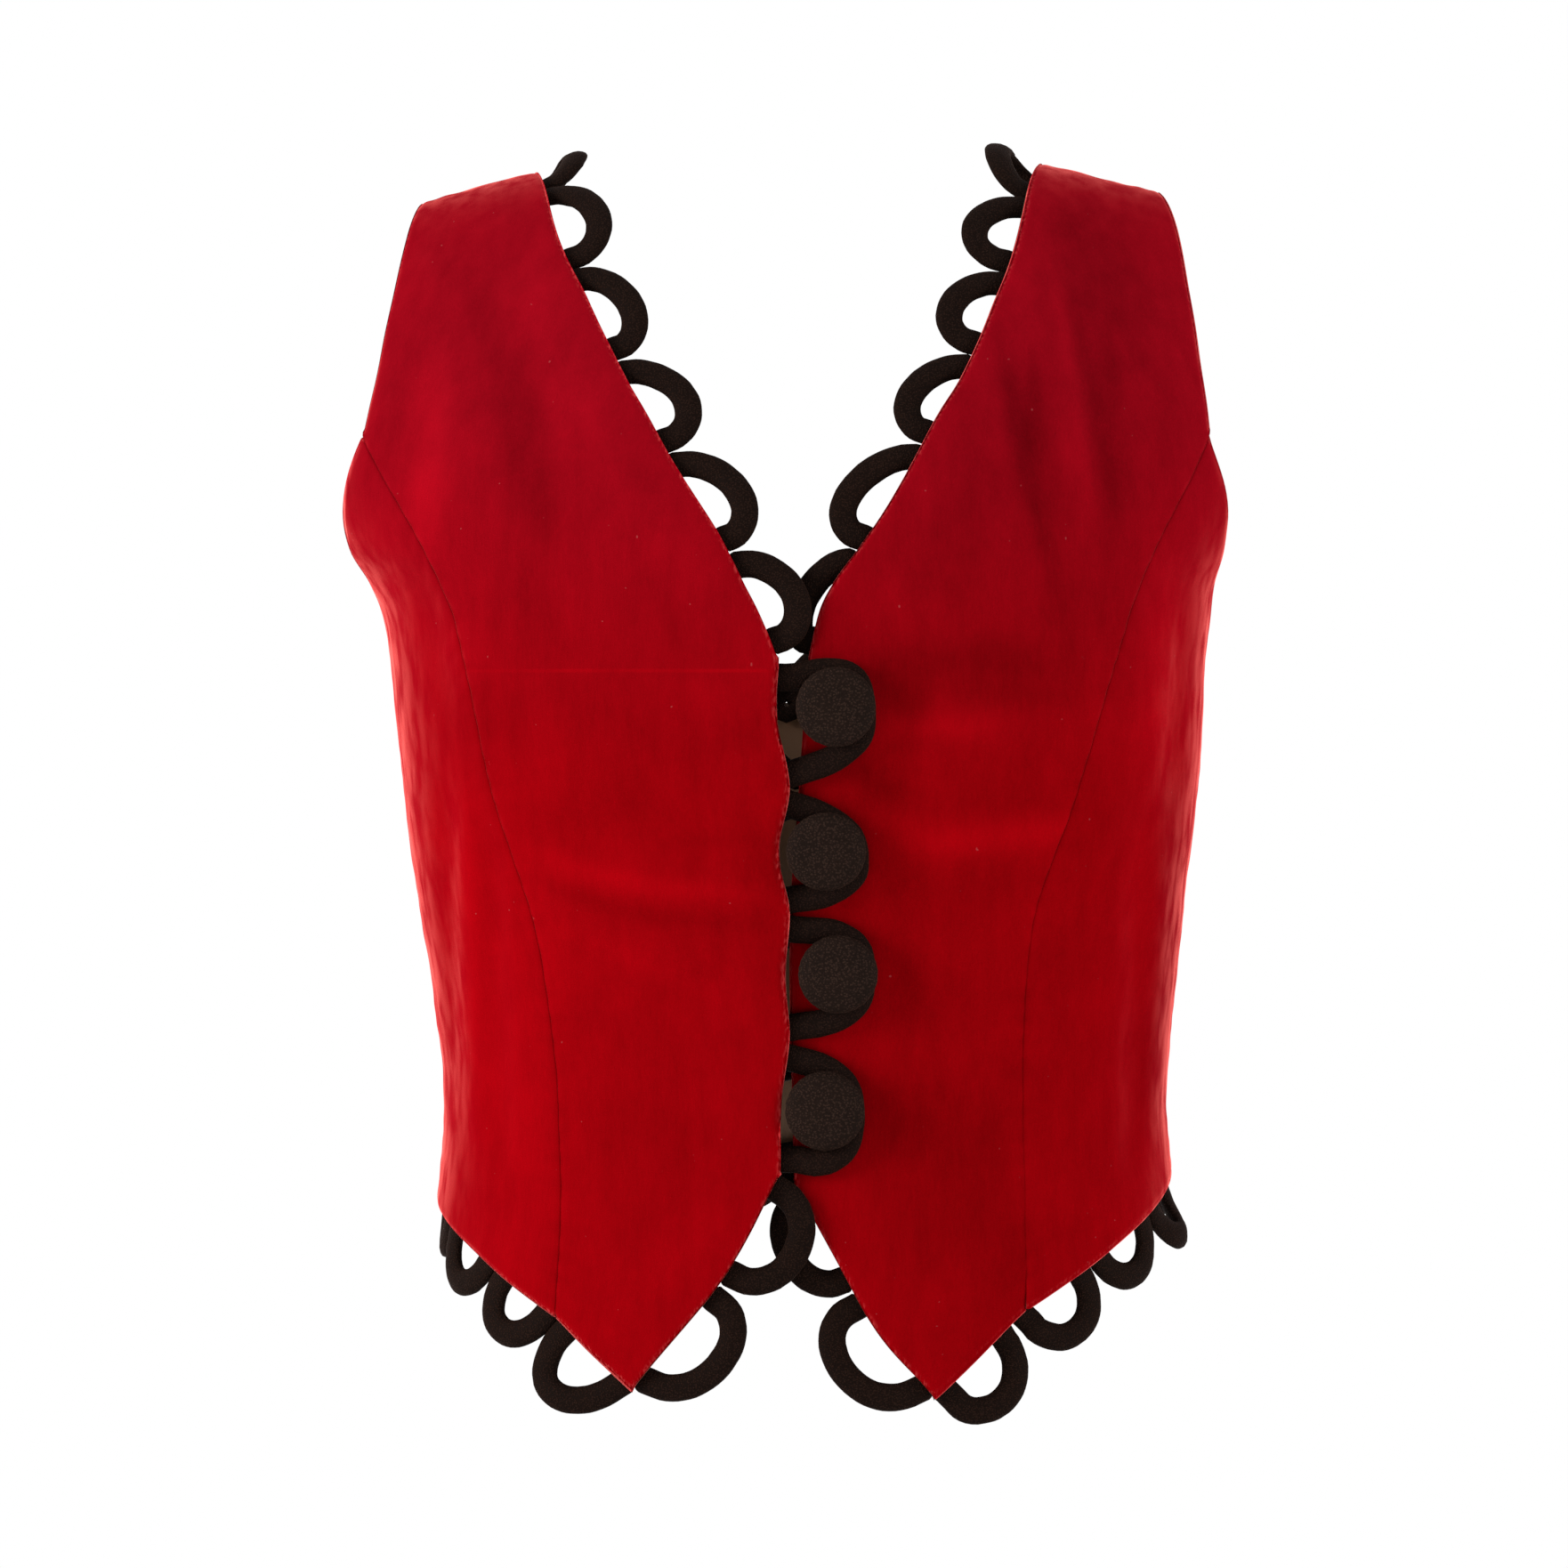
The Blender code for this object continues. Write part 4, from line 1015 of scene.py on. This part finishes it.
def loop_route(loops):
    """The trim's centre line: length along the edge, distance out, rise off the cloth, and squeeze."""
    inset = 0.5 * (TUBE_WIDTH + LEG_GAP)
    route = [(loops[0].start + inset, -TURN_DEPTH, 0.0, TURN_SQUEEZE)]
    for index, loop in enumerate(loops):
        middle = 0.5 * (loop.start + loop.end)
        half = 0.5 * (loop.end - loop.start) - inset
        route.append((loop.start + inset, 0.0, 0.0, 1.0))
        shape = loop.shape
        for step in range(1, ARCH_STEPS):
            turn = math.pi * step / ARCH_STEPS
            out = math.sin(turn) ** shape.roundness
            run = float(signed_power(math.cos(turn), shape.roundness))
            length = middle - half * run + shape.lean * out
            route.append((length, (shape.reach - 0.5 * TUBE_WIDTH) * out, shape.rise * out * out, 1.0))
        route.append((loop.end - inset, 0.0, 0.0, 1.0))
        if index + 1 < len(loops):
            route.append((loop.end - inset * TURN_SLANT, -TURN_DEPTH * TURN_SLANT, 0.0, TURN_SQUEEZE))
            route.append((loop.end, -TURN_DEPTH, 0.0, TURN_SQUEEZE))
            route.append((loop.end + inset * TURN_SLANT, -TURN_DEPTH * TURN_SLANT, 0.0, TURN_SQUEEZE))
    route.append((loops[-1].end - inset, -TURN_DEPTH, 0.0, TURN_SQUEEZE))
    return np.array(route)


def trim_frames(path, loops):
    """The trim's sections: each matrix carries a unit circle to its flattened section."""
    coarse = loop_route(loops)
    place = np.linspace(0.0, len(coarse) - 1.0, (len(coarse) - 1) * ROUTE_FINENESS + 1)
    length, out, rise, squeeze = (along(coarse[:, i], place) for i in range(4))
    point, outward, normal = path.frame(length, out)
    drop = TURN_DROP * np.maximum(0.0, -out) / TURN_DEPTH
    depth = -(WALL + TRIM_GAP + 0.5 * TUBE_THICKNESS) + rise - drop
    centres = point + outward * out[:, None] + normal * depth[:, None]
    directions = unit(np.gradient(centres, axis=0))
    across = unit(np.cross(directions, normal))
    upward = np.cross(across, directions) * (0.5 * TUBE_THICKNESS)
    across = across * (0.5 * TUBE_WIDTH * np.clip(squeeze, TURN_SQUEEZE, 1.0))[:, None]
    frames = []
    for axes in zip(across, upward, directions, centres):
        frames.append(Matrix([*np.array(axes).T.tolist(), (0.0, 0.0, 0.0, 1.0)]))
    return frames


def add_tube(name, frames, materials):
    """A closed tube: one end face is pushed from section to section, and the open start is filled."""
    bm = bmesh.new()
    bmesh.ops.create_circle(bm, cap_ends=True, segments=TUBE_SIDES, radius=1.0, matrix=frames[0])
    cap = bm.faces[:]
    for before, after in zip(frames, frames[1:]):
        cap = bmesh.ops.extrude_discrete_faces(bm, faces=cap)["faces"]
        bmesh.ops.transform(bm, matrix=after @ before.inverted(), verts=cap[0].verts[:])
    bmesh.ops.holes_fill(bm, edges=[edge for edge in bm.edges if edge.is_boundary])
    bmesh.ops.recalc_face_normals(bm, faces=bm.faces)
    bm.normal_update()
    for vert in bm.verts:
        large, small = (noise.noise(vert.co * scale) for scale in TUBE_CREASE_SCALES)
        vert.co += vert.normal * (TUBE_CREASES * (large + 0.5 * small))
    return new_piece(name, bm, materials)


def front_trim(name, front, side_front, materials):
    """The trim of one front: neck, front edge, the hem to its point, and on to the side seam."""
    zero = np.zeros(PATH_STEPS + 1)
    path = EdgePath(-front.side)
    path.add(lambda f: front.frame(zero, mix(0.0, V_BOTTOM, f)), "V")
    path.add(lambda f: front.frame(zero, mix(V_BOTTOM, LOWER_CORNER, f)), "corner")
    path.add(lambda f: front.frame(zero, mix(LOWER_CORNER, front.last, f)), "point")
    path.add(lambda f: front.frame(f, zero + front.last), "seam")
    path.add(lambda f: side_front.frame(f, zero + side_front.last), "side")
    marks = path.marks
    if front.side == RIGHT:
        start, end = SHOULDER_HALF_RIGHT, marks["side"] - SIDE_GAP
        neck, closing = NECK_SHAPES_RIGHT, BUTTON_LOOP_SHAPES
        points, hem = POINT_SHAPES_RIGHT, HEM_SHAPES_RIGHT
    else:
        start, end = SHOULDER_HALF_LEFT, marks["side"] - SIDE_LOOP
        neck, closing = NECK_SHAPES_LEFT, HIDDEN_SHAPES
        points, hem = POINT_SHAPES_LEFT, HEM_SHAPES_LEFT
    loops = spaced(start, marks["V"] - NECK_END_GAP, neck)
    loops += spaced(marks["V"] + CLOSING_START_GAP, marks["corner"], closing)
    loops += spaced(marks["corner"], marks["point"], points)
    loops += spaced(marks["point"], end, hem)
    return add_tube(name, trim_frames(path, loops), materials)


def back_neck_trim(name, fronts, back, materials):
    """The trim over the left shoulder, down and up the back's V, and over the right shoulder."""
    zero = np.zeros(PATH_STEPS + 1)
    path = EdgePath(1)
    path.add(lambda f: fronts[LEFT].frame(zero, mix(SHOULDER_STATIONS, 0.0, f)), "left shoulder")
    path.add(lambda f: back.frame(zero, mix(0.0, BACK_V_BOTTOM, f), LEFT), "V")
    path.add(lambda f: back.frame(zero, mix(BACK_V_BOTTOM, 0.0, f), RIGHT), "right shoulder")
    path.add(lambda f: fronts[RIGHT].frame(zero, mix(0.0, SHOULDER_STATIONS, f)), "end")
    left, middle, right = (path.marks[mark] for mark in ("left shoulder", "V", "right shoulder"))
    from_left = left + SHOULDER_HALF_RIGHT
    to_right = right - SHOULDER_HALF_RIGHT
    loops = [Loop(left - SHOULDER_HALF_LEFT, from_left, SHOULDER_SHAPE)]
    loops += spaced(from_left, middle, BACK_NECK_SHAPES)
    loops += spaced(middle, to_right, BACK_NECK_SHAPES[::-1])
    loops += [Loop(to_right, right + SHOULDER_HALF_RIGHT, SHOULDER_SHAPE)]
    return add_tube(name, trim_frames(path, loops), materials)


def back_hem_trim(name, side_front, back, materials):
    """The trim of the back hem, from just before the left side seam to the right side seam."""
    ones = np.ones(PATH_STEPS + 1)
    path = EdgePath(-1)
    path.add(lambda f: side_front.frame(mix(0.5, 1.0, f), ones * side_front.last), "side")
    path.add(lambda f: back.frame(1.0 - f, ones * back.last, LEFT), "middle")
    path.add(lambda f: back.frame(f, ones * back.last, RIGHT), "end")
    start = path.marks["side"] - SIDE_LOOP
    return add_tube(name, trim_frames(path, spaced(start, path.marks["end"], BACK_HEM_SHAPES)), materials)


def add_button(name, place, materials):
    """A covered button: a turned dome on a round shank, its cloth drawn in small tucks under the rim."""
    level = level_at(place.z)
    angle = angle_at(place.x, level)
    normal = body_normal(angle, level)
    base = body_point(angle, level) + normal * (LAP_LEFT_LIFT + BUTTON_SEAT)
    outline = [(0.0, 0.0), (SHANK_RADIUS, 0.0), (SHANK_RADIUS, BUTTON_UNDERSIDE)]
    fine = np.linspace(0.0, len(BUTTON_DOME) - 1.0, BUTTON_ROWS + 1)
    across, up = (along(values, fine) for values in zip(*BUTTON_DOME))
    for out, rise in zip(across, up):
        outline.append((max(0.0, out) * BUTTON_RADIUS, BUTTON_UNDERSIDE + rise * BUTTON_HEIGHT))
    bm = bmesh.new()
    points = [bm.verts.new((radius, 0.0, height)) for radius, height in outline]
    edges = [bm.edges.new(pair) for pair in zip(points, points[1:])]
    bmesh.ops.spin(
        bm,
        geom=points + edges,
        axis=(0.0, 0.0, 1.0),
        angle=2.0 * math.pi,
        steps=BUTTON_STEPS,
        use_merge=True,
    )
    bmesh.ops.remove_doubles(bm, verts=bm.verts, dist=1e-6)
    for vert in bm.verts:
        low = 1.0 - float(smooth(*TUCK_LEVELS, (vert.co.z - BUTTON_UNDERSIDE) / BUTTON_HEIGHT))
        if vert.co.xy.length > TUCK_START * BUTTON_RADIUS:
            turn = math.atan2(vert.co.y, vert.co.x)
            wander = TUCK_WANDER * math.sin(TUCK_WANDERS * turn + TUCK_SHIFT * place.z)
            tuck = math.sin(BUTTON_TUCKS * turn + wander)
            vert.co.xy *= 1.0 + BUTTON_TUCK_DEPTH * low * (tuck - 1.0)
        spot = Vector((*(BUTTON_CREASE_SCALE * vert.co.xy), BUTTON_CREASE_SHIFT * place.z))
        vert.co.z += BUTTON_CREASES * noise.noise(spot)
    turned = Vector(normal).to_track_quat("Z", "Y").to_matrix().to_4x4()
    bmesh.ops.transform(bm, matrix=Matrix.Translation(Vector(base)) @ turned, verts=bm.verts)
    return new_piece(name, bm, materials)


# Materials


def arithmetic(operation):
    """A Math node's operator for a term and anything, and its reflected form."""
    return (
        lambda term, other: term.math(operation, term, other),
        lambda term, other: term.math(operation, other, term),
    )


class Term:
    """A socket of a material's nodes: arithmetic on it adds the Math nodes."""

    __add__, __radd__ = arithmetic("ADD")
    __sub__, __rsub__ = arithmetic("SUBTRACT")
    __mul__, __rmul__ = arithmetic("MULTIPLY")
    __pow__ = arithmetic("POWER")[0]

    def __init__(self, surface, socket):
        self.surface, self.socket = surface, socket

    def math(self, operation, *others):
        values = dict(enumerate(others))
        return self.surface.node("ShaderNodeMath", {"operation": operation}, values)

    def above(self, low, high):
        """0 below low, 1 above high."""
        return self.surface.node(
            "ShaderNodeMapRange",
            {"interpolation_type": "SMOOTHSTEP"},
            {"Value": self, "From Min": low, "From Max": high},
        )


class Surface:
    """A material under construction."""

    def __init__(self, name):
        self.material = bpy.data.materials.new(name)
        self.material.use_nodes = True
        self.tree = self.material.node_tree
        self.shader = self.tree.nodes["Principled BSDF"]

    def node(self, kind, settings, inputs, output=0):
        """Adds a node, sets it, fills its sockets and returns one of its outputs."""
        node = self.tree.nodes.new(kind)
        for name, value in settings.items():
            setattr(node, name, value)
        for key, value in inputs.items():
            self.fill(node.inputs[key], value)
        return Term(self, node.outputs[output])

    def fill(self, socket, value):
        if isinstance(value, Term):
            self.tree.links.new(value.socket, socket)
        else:
            socket.default_value = value

    def place(self):
        """The place on the object."""
        return self.node("ShaderNodeTexCoord", {}, {}, "Object")

    def noise(self, grain):
        """Noise over the object, stretched and turned for a directional grain."""
        turned = {"Vector": self.place(), "Scale": grain.stretch, "Rotation": grain.turn}
        where = self.node("ShaderNodeMapping", {}, turned)
        values = {"Scale": grain.scale, "Detail": grain.detail, "Roughness": grain.roughness}
        return self.node("ShaderNodeTexNoise", {}, {"Vector": where, **values})

    def parts(self, where):
        """The x, y and z of a place."""
        split = self.node("ShaderNodeSeparateXYZ", {}, {0: where}).socket.node
        return [Term(self, socket) for socket in split.outputs]

    def mark(self, name):
        """How strongly the cloth carries a mark, from the mesh."""
        return self.node("ShaderNodeAttribute", {"attribute_name": name}, {}, 2)

    def facing(self):
        """0 where the cloth faces the eye, 1 where it turns away."""
        return self.node("ShaderNodeLayerWeight", {}, {"Blend": 0.5}, 1)

    def blend(self, first, second, factor, kind="MIX"):
        """A mixed colour; a colour Mix node has its factor at socket 0 and its colours at 6 and 7."""
        settings = {"data_type": "RGBA", "blend_type": kind}
        return self.node("ShaderNodeMix", settings, {0: factor, 6: first, 7: second}, 2)

    def bump(self, height, distance, before=None):
        """A Bump node's normal, from a height of 0 to 1 and the real depth that it stands for."""
        inputs = {"Height": height, "Distance": distance, "Strength": 1.0}
        if before is not None:
            inputs["Normal"] = before
        return self.node("ShaderNodeBump", {}, inputs)

    def finish(self, **values):
        for name, value in values.items():
            self.fill(self.shader.inputs[name.replace("_", " ")], value)
        return self.material


def rgba(colour, strength):
    return (*(min(1.0, strength * part) for part in colour), 1.0)


def highlight_line(x, z):
    """A faint painted highlight line across the right front."""
    off = z - (HIGHLIGHT_LINE_HEIGHT + HIGHLIGHT_LINE_SLOPE * x)
    off = off.math("ABSOLUTE", off)
    across = x.above(*HIGHLIGHT_LINE_OUTER_END) * (1.0 - x.above(*HIGHLIGHT_LINE_INNER_END))
    return across * (1.0 - off.above(*HIGHLIGHT_LINE_WIDTH))


def velvet_material(colour):
    """Cut pile: tufts, short brushed streaks and soft clouds, with painted light, shade and sheen laid over
    them.
    """
    s = Surface("velvet_cloth")
    x, height = s.parts(s.place())[::2]
    pile = 0.5 * s.noise(TUFTS) + 0.5 * s.noise(HATCH)
    streaks, clouds = s.noise(STREAKS), s.noise(CLOUDS)
    lightness = 0.5 + PILE_SHARE * (pile - 0.5) + STREAK_SHARE * (streaks - 0.5)
    # Painted light and shade from the mesh, along the folds, rolled edges and strokes
    lightness = lightness + CLOUD_SHARE * (clouds - 0.5) + PAINTED_SHADING_SHARE * s.mark("nap")
    dark, light = rgba(colour, VELVET_DARK), rgba(colour, VELVET_LIGHT)
    base = s.blend(dark, light, lightness)
    # Painted sheen: the velvet pinker towards the top
    base = s.blend(base, UPPER_PAINTED_SHEEN, height.above(*UPPER_HEIGHTS), "MULTIPLY")
    # Painted highlight: light pink tufts along the rolled edges
    edge_highlight = s.noise(BENT_TUFTS).above(*EDGE_HIGHLIGHT_TUFTS) * s.mark("edge_highlight").above(*EDGE_HIGHLIGHT_WIDTH)
    base = s.blend(base, EDGE_HIGHLIGHT_COLOUR, EDGE_HIGHLIGHT_SHARE * edge_highlight)
    base = s.blend(base, LINT_COLOUR, LINT_SHARE * s.noise(LINT).above(*LINT_STEP))
    # Painted highlight: a faint light line across the right front, broken by the clouds
    line_highlight = highlight_line(x, height) * clouds.above(*HIGHLIGHT_LINE_BREAKS)
    base = s.blend(base, light, HIGHLIGHT_LINE_SHARE * line_highlight)
    # Painted shade: the velvet darker in the seams' grooves
    sewn = s.mark("sewn")
    base = s.blend(base, dark, SEAM_PAINTED_SHADE_SHARE * sewn)
    facing = s.facing()
    flat = 1.0 - sewn.above(*SEWN_WIDTH)
    base = s.blend(base, SHEEN_COLOUR, SHEEN_SHARE * flat * facing**SHEEN_POWER)
    # Painted sheen: a pale pink rim where the velvet turns away, broken by the streaks
    rim = streaks.above(*RIM_SHEEN_BREAKS) * flat * facing**RIM_SHEEN_POWER
    base = s.blend(base, RIM_SHEEN_COLOUR, RIM_SHEEN_SHARE * rim)
    return s.finish(
        Base_Color=base,
        Roughness=0.86 + 0.10 * pile,
        Normal=s.bump(pile, PILE_DEPTH),
        Specular_IOR_Level=0.0,
        Sheen_Weight=0.18,
        Sheen_Roughness=0.28,
        Sheen_Tint=(1.0, 0.22, 0.20, 1.0),
    )


def lining_material(colour):
    """A plain, slightly glossy lining with a fine weave."""
    s = Surface("lining_cloth")
    soft = s.noise(LINING_CLOUDS)
    thread = 0.5 * s.noise(LINING_WEFT) + 0.5 * s.noise(LINING_WARP)
    base = s.blend(rgba(colour, LINING_DARK), rgba(colour, LINING_LIGHT), 0.6 * thread + 0.4 * soft)
    return s.finish(
        Base_Color=base,
        Roughness=0.48 + 0.2 * soft,
        Normal=s.bump(thread, LINING_DEPTH),
        Specular_IOR_Level=0.3,
    )


def crepe_material(name, colour, weave_scale, depth):
    """A matt black crepe: fine pebbled weave with faint lighter threads, and a painted sheen where it turns
    away.
    """
    s = Surface(name)
    pebble = s.node("ShaderNodeTexVoronoi", {"feature": "F1"}, {"Vector": s.place(), "Scale": weave_scale})
    fibre = s.noise(Grain(FIBRE_FINENESS * weave_scale, 2.0))
    soft = s.noise(CREPE_CLOUDS)
    thread = (0.62 * (1.0 - pebble.above(*PEBBLE_EDGE)) + 0.38 * fibre).above(*THREAD_STEP)
    base = s.blend(rgba(colour, CREPE_DARK), rgba(colour, CREPE_LIGHT), 0.75 * thread + 0.25 * soft)
    # Painted sheen: the crepe lighter where it turns away from the eye
    base = s.blend(base, rgba(colour, CREPE_EDGE_SHEEN), CREPE_EDGE_SHEEN_SHARE * s.facing() ** CREPE_EDGE_SHEEN_POWER)
    return s.finish(
        Base_Color=base,
        Roughness=0.66 + 0.12 * soft,
        Normal=s.bump(soft, CREPE_CLOUD_DEPTH, s.bump(thread, depth)),
        Specular_IOR_Level=0.02,
    )


def floor_material():
    s = Surface("pale_floor")
    grain = s.noise(FLOOR_GRAIN)
    base = s.blend((0.90, 0.90, 0.90, 1.0), (0.94, 0.94, 0.94, 1.0), grain)
    return s.finish(Base_Color=base, Roughness=0.7 + 0.1 * grain)


def kept_material(name, make, *values):
    """One material for all pieces of a finish."""
    return bpy.data.materials.get(name) or make(*values)


def panel_materials():
    colours = bpy.context.scene.vest_colours
    return (
        kept_material("velvet_cloth", velvet_material, colours.velvet),
        kept_material("lining_cloth", lining_material, colours.lining),
    )


def crepe_cloth(name, colour, weave_scale, depth):
    return (kept_material(name, crepe_material, name, colour, weave_scale, depth),)


def trim_materials():
    colour = bpy.context.scene.vest_colours.trim
    return crepe_cloth("loop_cloth", colour, LOOP_WEAVE_SCALE, LOOP_WEAVE_DEPTH)


def button_materials():
    colour = bpy.context.scene.vest_colours.button
    return crepe_cloth("button_crepe", colour, BUTTON_WEAVE_SCALE, BUTTON_WEAVE_DEPTH)


# User settings


def colour_setting(label, default):
    return bpy.props.FloatVectorProperty(
        name=label,
        description=f"{label} colour",
        subtype="COLOR",
        size=3,
        min=0.0,
        max=1.0,
        default=default,
    )


def length_setting(label, description, default):
    return bpy.props.FloatProperty(
        name=label, description=description, default=default, min=LEAST_LENGTH, unit="LENGTH", precision=5
    )


class VestColours(bpy.types.PropertyGroup):
    velvet: colour_setting("Velvet", (0.112, 0.0002, 0.0011))
    lining: colour_setting("Lining", (0.062, 0.028, 0.011))
    trim: colour_setting("Loop trim", (0.0052, 0.0022, 0.0014))
    button: colour_setting("Button cloth", (0.0084, 0.0044, 0.0031))


class VestSizes(bpy.types.PropertyGroup):
    roll_width: length_setting("Roll width", "How far an open edge turns over", 0.0030)
    roll_drop: length_setting("Roll drop", "How far the face sinks at an open edge", 0.0008)
    groove_width: length_setting("Groove width", "Half width of the groove at a seam", 0.0010)
    groove_depth: length_setting("Groove depth", "How far the face sinks at a seam", 0.00035)
    pucker_height: length_setting("Pucker height", "How far the cloth puckers beside a seam", 0.00018)


# Operators


def ride_as_sheet(piece, nodes):
    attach(piece, "root")
    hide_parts(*nodes)


def ride_as_trim(piece, node):
    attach(piece, "root")
    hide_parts(node)


class VEST_OT_fronts(bpy.types.Operator):
    """Add the two front panels"""

    bl_idname = "vest.add_fronts"
    bl_label = "Add fronts"

    def execute(self, context):
        for side, word, flat, area in (
            (RIGHT, "right", (0.19, 0.50), 0.0497),
            (LEFT, "left", (0.19, 0.50), 0.0489),
        ):
            piece = add_panel(f"velvet_front_{word}", Front(side), FRONT_FINE_COLUMNS, panel_materials())
            ride_as_sheet(piece, [f"front_{word}"])
        return {"FINISHED"}


class VEST_OT_side_fronts(bpy.types.Operator):
    """Add the two side fronts"""

    bl_idname = "vest.add_side_fronts"
    bl_label = "Add side fronts"

    def execute(self, context):
        for side, word, flat, area in (
            (RIGHT, "right", (0.16, 0.36), 0.0270),
            (LEFT, "left", (0.16, 0.36), 0.0293),
        ):
            panel = SideFront(side)
            piece = add_panel(f"velvet_side_{word}", panel, SIDE_FINE_COLUMNS, panel_materials())
            ride_as_sheet(piece, [f"side_front_{word}"])
        return {"FINISHED"}


class VEST_OT_back(bpy.types.Operator):
    """Add the back"""

    bl_idname = "vest.add_back"
    bl_label = "Add back"

    def execute(self, context):
        piece = add_back_panel("velvet_back", Back(), BACK_FINE_COLUMNS, panel_materials())
        ride_as_sheet(piece, ["back"])
        return {"FINISHED"}


class VEST_OT_trims(bpy.types.Operator):
    """Add the padded loop trim of the neck, front edges and hem"""

    bl_idname = "vest.add_trims"
    bl_label = "Add loop trim"

    def execute(self, context):
        fronts = {side: Front(side) for side in (RIGHT, LEFT)}
        side_fronts = {side: SideFront(side) for side in (RIGHT, LEFT)}
        back = Back()
        cloth = trim_materials()
        for side, word in ((RIGHT, "right"), (LEFT, "left")):
            piece = front_trim(f"loops_front_{word}", fronts[side], side_fronts[side], cloth)
            ride_as_trim(piece, f"trim_front_{word}")
        piece = back_neck_trim("loops_back_neck", fronts, back, cloth)
        ride_as_trim(piece, "trim_back_neck")
        piece = back_hem_trim("loops_back_hem", side_fronts[LEFT], back, cloth)
        ride_as_trim(piece, "trim_back_hem")
        return {"FINISHED"}


class VEST_OT_buttons(bpy.types.Operator):
    """Add the four covered buttons"""

    bl_idname = "vest.add_buttons"
    bl_label = "Add buttons"

    def execute(self, context):
        for number, place in enumerate(BUTTONS, start=1):
            piece = add_button(f"covered_button_{number}", place, button_materials())
            ride_as_trim(piece, f"button_{number}")
        return {"FINISHED"}


def area_light(row):
    """A soft light turned towards the vest."""
    light = bpy.data.lights.new(row.name, "AREA")
    light.shape = "RECTANGLE"
    light.size, light.size_y = row.size
    light.energy = row.power
    light.color = LIGHT_COLOUR
    lamp = bpy.data.objects.new(row.name, light)
    bpy.context.scene.collection.objects.link(lamp)
    away = Vector(row.place) - Vector(LIGHT_TARGET)
    lamp.matrix_world = Matrix.Translation(row.place) @ away.to_track_quat("Z", "Y").to_matrix().to_4x4()


class VEST_OT_stage(bpy.types.Operator):
    """Add the floor, the soft light and the camera"""

    bl_idname = "vest.add_stage"
    bl_label = "Add stage"

    def execute(self, context):
        scene = context.scene
        bm = bmesh.new()
        bmesh.ops.create_circle(bm, cap_ends=True, segments=FLOOR_SIDES, radius=FLOOR_RADIUS)
        bmesh.ops.translate(bm, verts=bm.verts, vec=(0.0, 0.0, FLOOR_HEIGHT))
        mesh = bpy.data.meshes.new("floor")
        bm.to_mesh(mesh)
        bm.free()
        mesh.materials.append(floor_material())
        floor = bpy.data.objects.new("floor", mesh)
        scene.collection.objects.link(floor)
        for row in STUDIO_LIGHTS:
            area_light(row)
        world = bpy.data.worlds.new("studio")
        world.use_nodes = True
        sky = world.node_tree.nodes["Background"].inputs
        sky["Color"].default_value = (1.0, 1.0, 1.0, 1.0)
        sky["Strength"].default_value = WORLD_STRENGTH
        scene.world = world
        scene.view_settings.view_transform = "Standard"
        camera = bpy.data.cameras.new("camera")
        camera.sensor_width = SENSOR_WIDTH
        camera.lens = SENSOR_WIDTH * FOCAL_PIXELS / PHOTO_PIXELS
        camera.clip_start, camera.clip_end = CLIP_START, CLIP_END
        rig = bpy.data.objects.new("camera", camera)
        scene.collection.objects.link(rig)
        rig.location = CAMERA_PLACE
        rig.rotation_euler = (math.radians(90.0), 0.0, 0.0)
        scene.camera = rig
        return {"FINISHED"}


class VEST_PT_panel(bpy.types.Panel):
    """Lists the vest's pieces and settings"""

    bl_idname = "VEST_PT_panel"
    bl_label = "Velvet Vest"
    bl_space_type = "VIEW_3D"
    bl_region_type = "UI"
    bl_category = "Vest"

    def draw(self, context):
        layout = self.layout
        for settings in (context.scene.vest_colours, context.scene.vest_sizes):
            for name in settings.__annotations__:
                layout.prop(settings, name)
        for operator in OPERATORS:
            layout.operator(operator.bl_idname)


OPERATORS = (
    VEST_OT_fronts,
    VEST_OT_side_fronts,
    VEST_OT_back,
    VEST_OT_trims,
    VEST_OT_buttons,
    VEST_OT_stage,
)
CLASSES = (VestColours, VestSizes, *OPERATORS, VEST_PT_panel)


def register():
    for entry in CLASSES:
        bpy.utils.register_class(entry)
    bpy.types.Scene.vest_colours = bpy.props.PointerProperty(type=VestColours)
    bpy.types.Scene.vest_sizes = bpy.props.PointerProperty(type=VestSizes)


def unregister():
    del bpy.types.Scene.vest_sizes
    del bpy.types.Scene.vest_colours
    for entry in reversed(CLASSES):
        bpy.utils.unregister_class(entry)


def main():
    register()
    bpy.ops.vest.add_stage()
    bpy.ops.vest.add_fronts()
    bpy.ops.vest.add_side_fronts()
    bpy.ops.vest.add_back()
    bpy.ops.vest.add_trims()
    bpy.ops.vest.add_buttons()


if __name__ == "__main__":
    main()
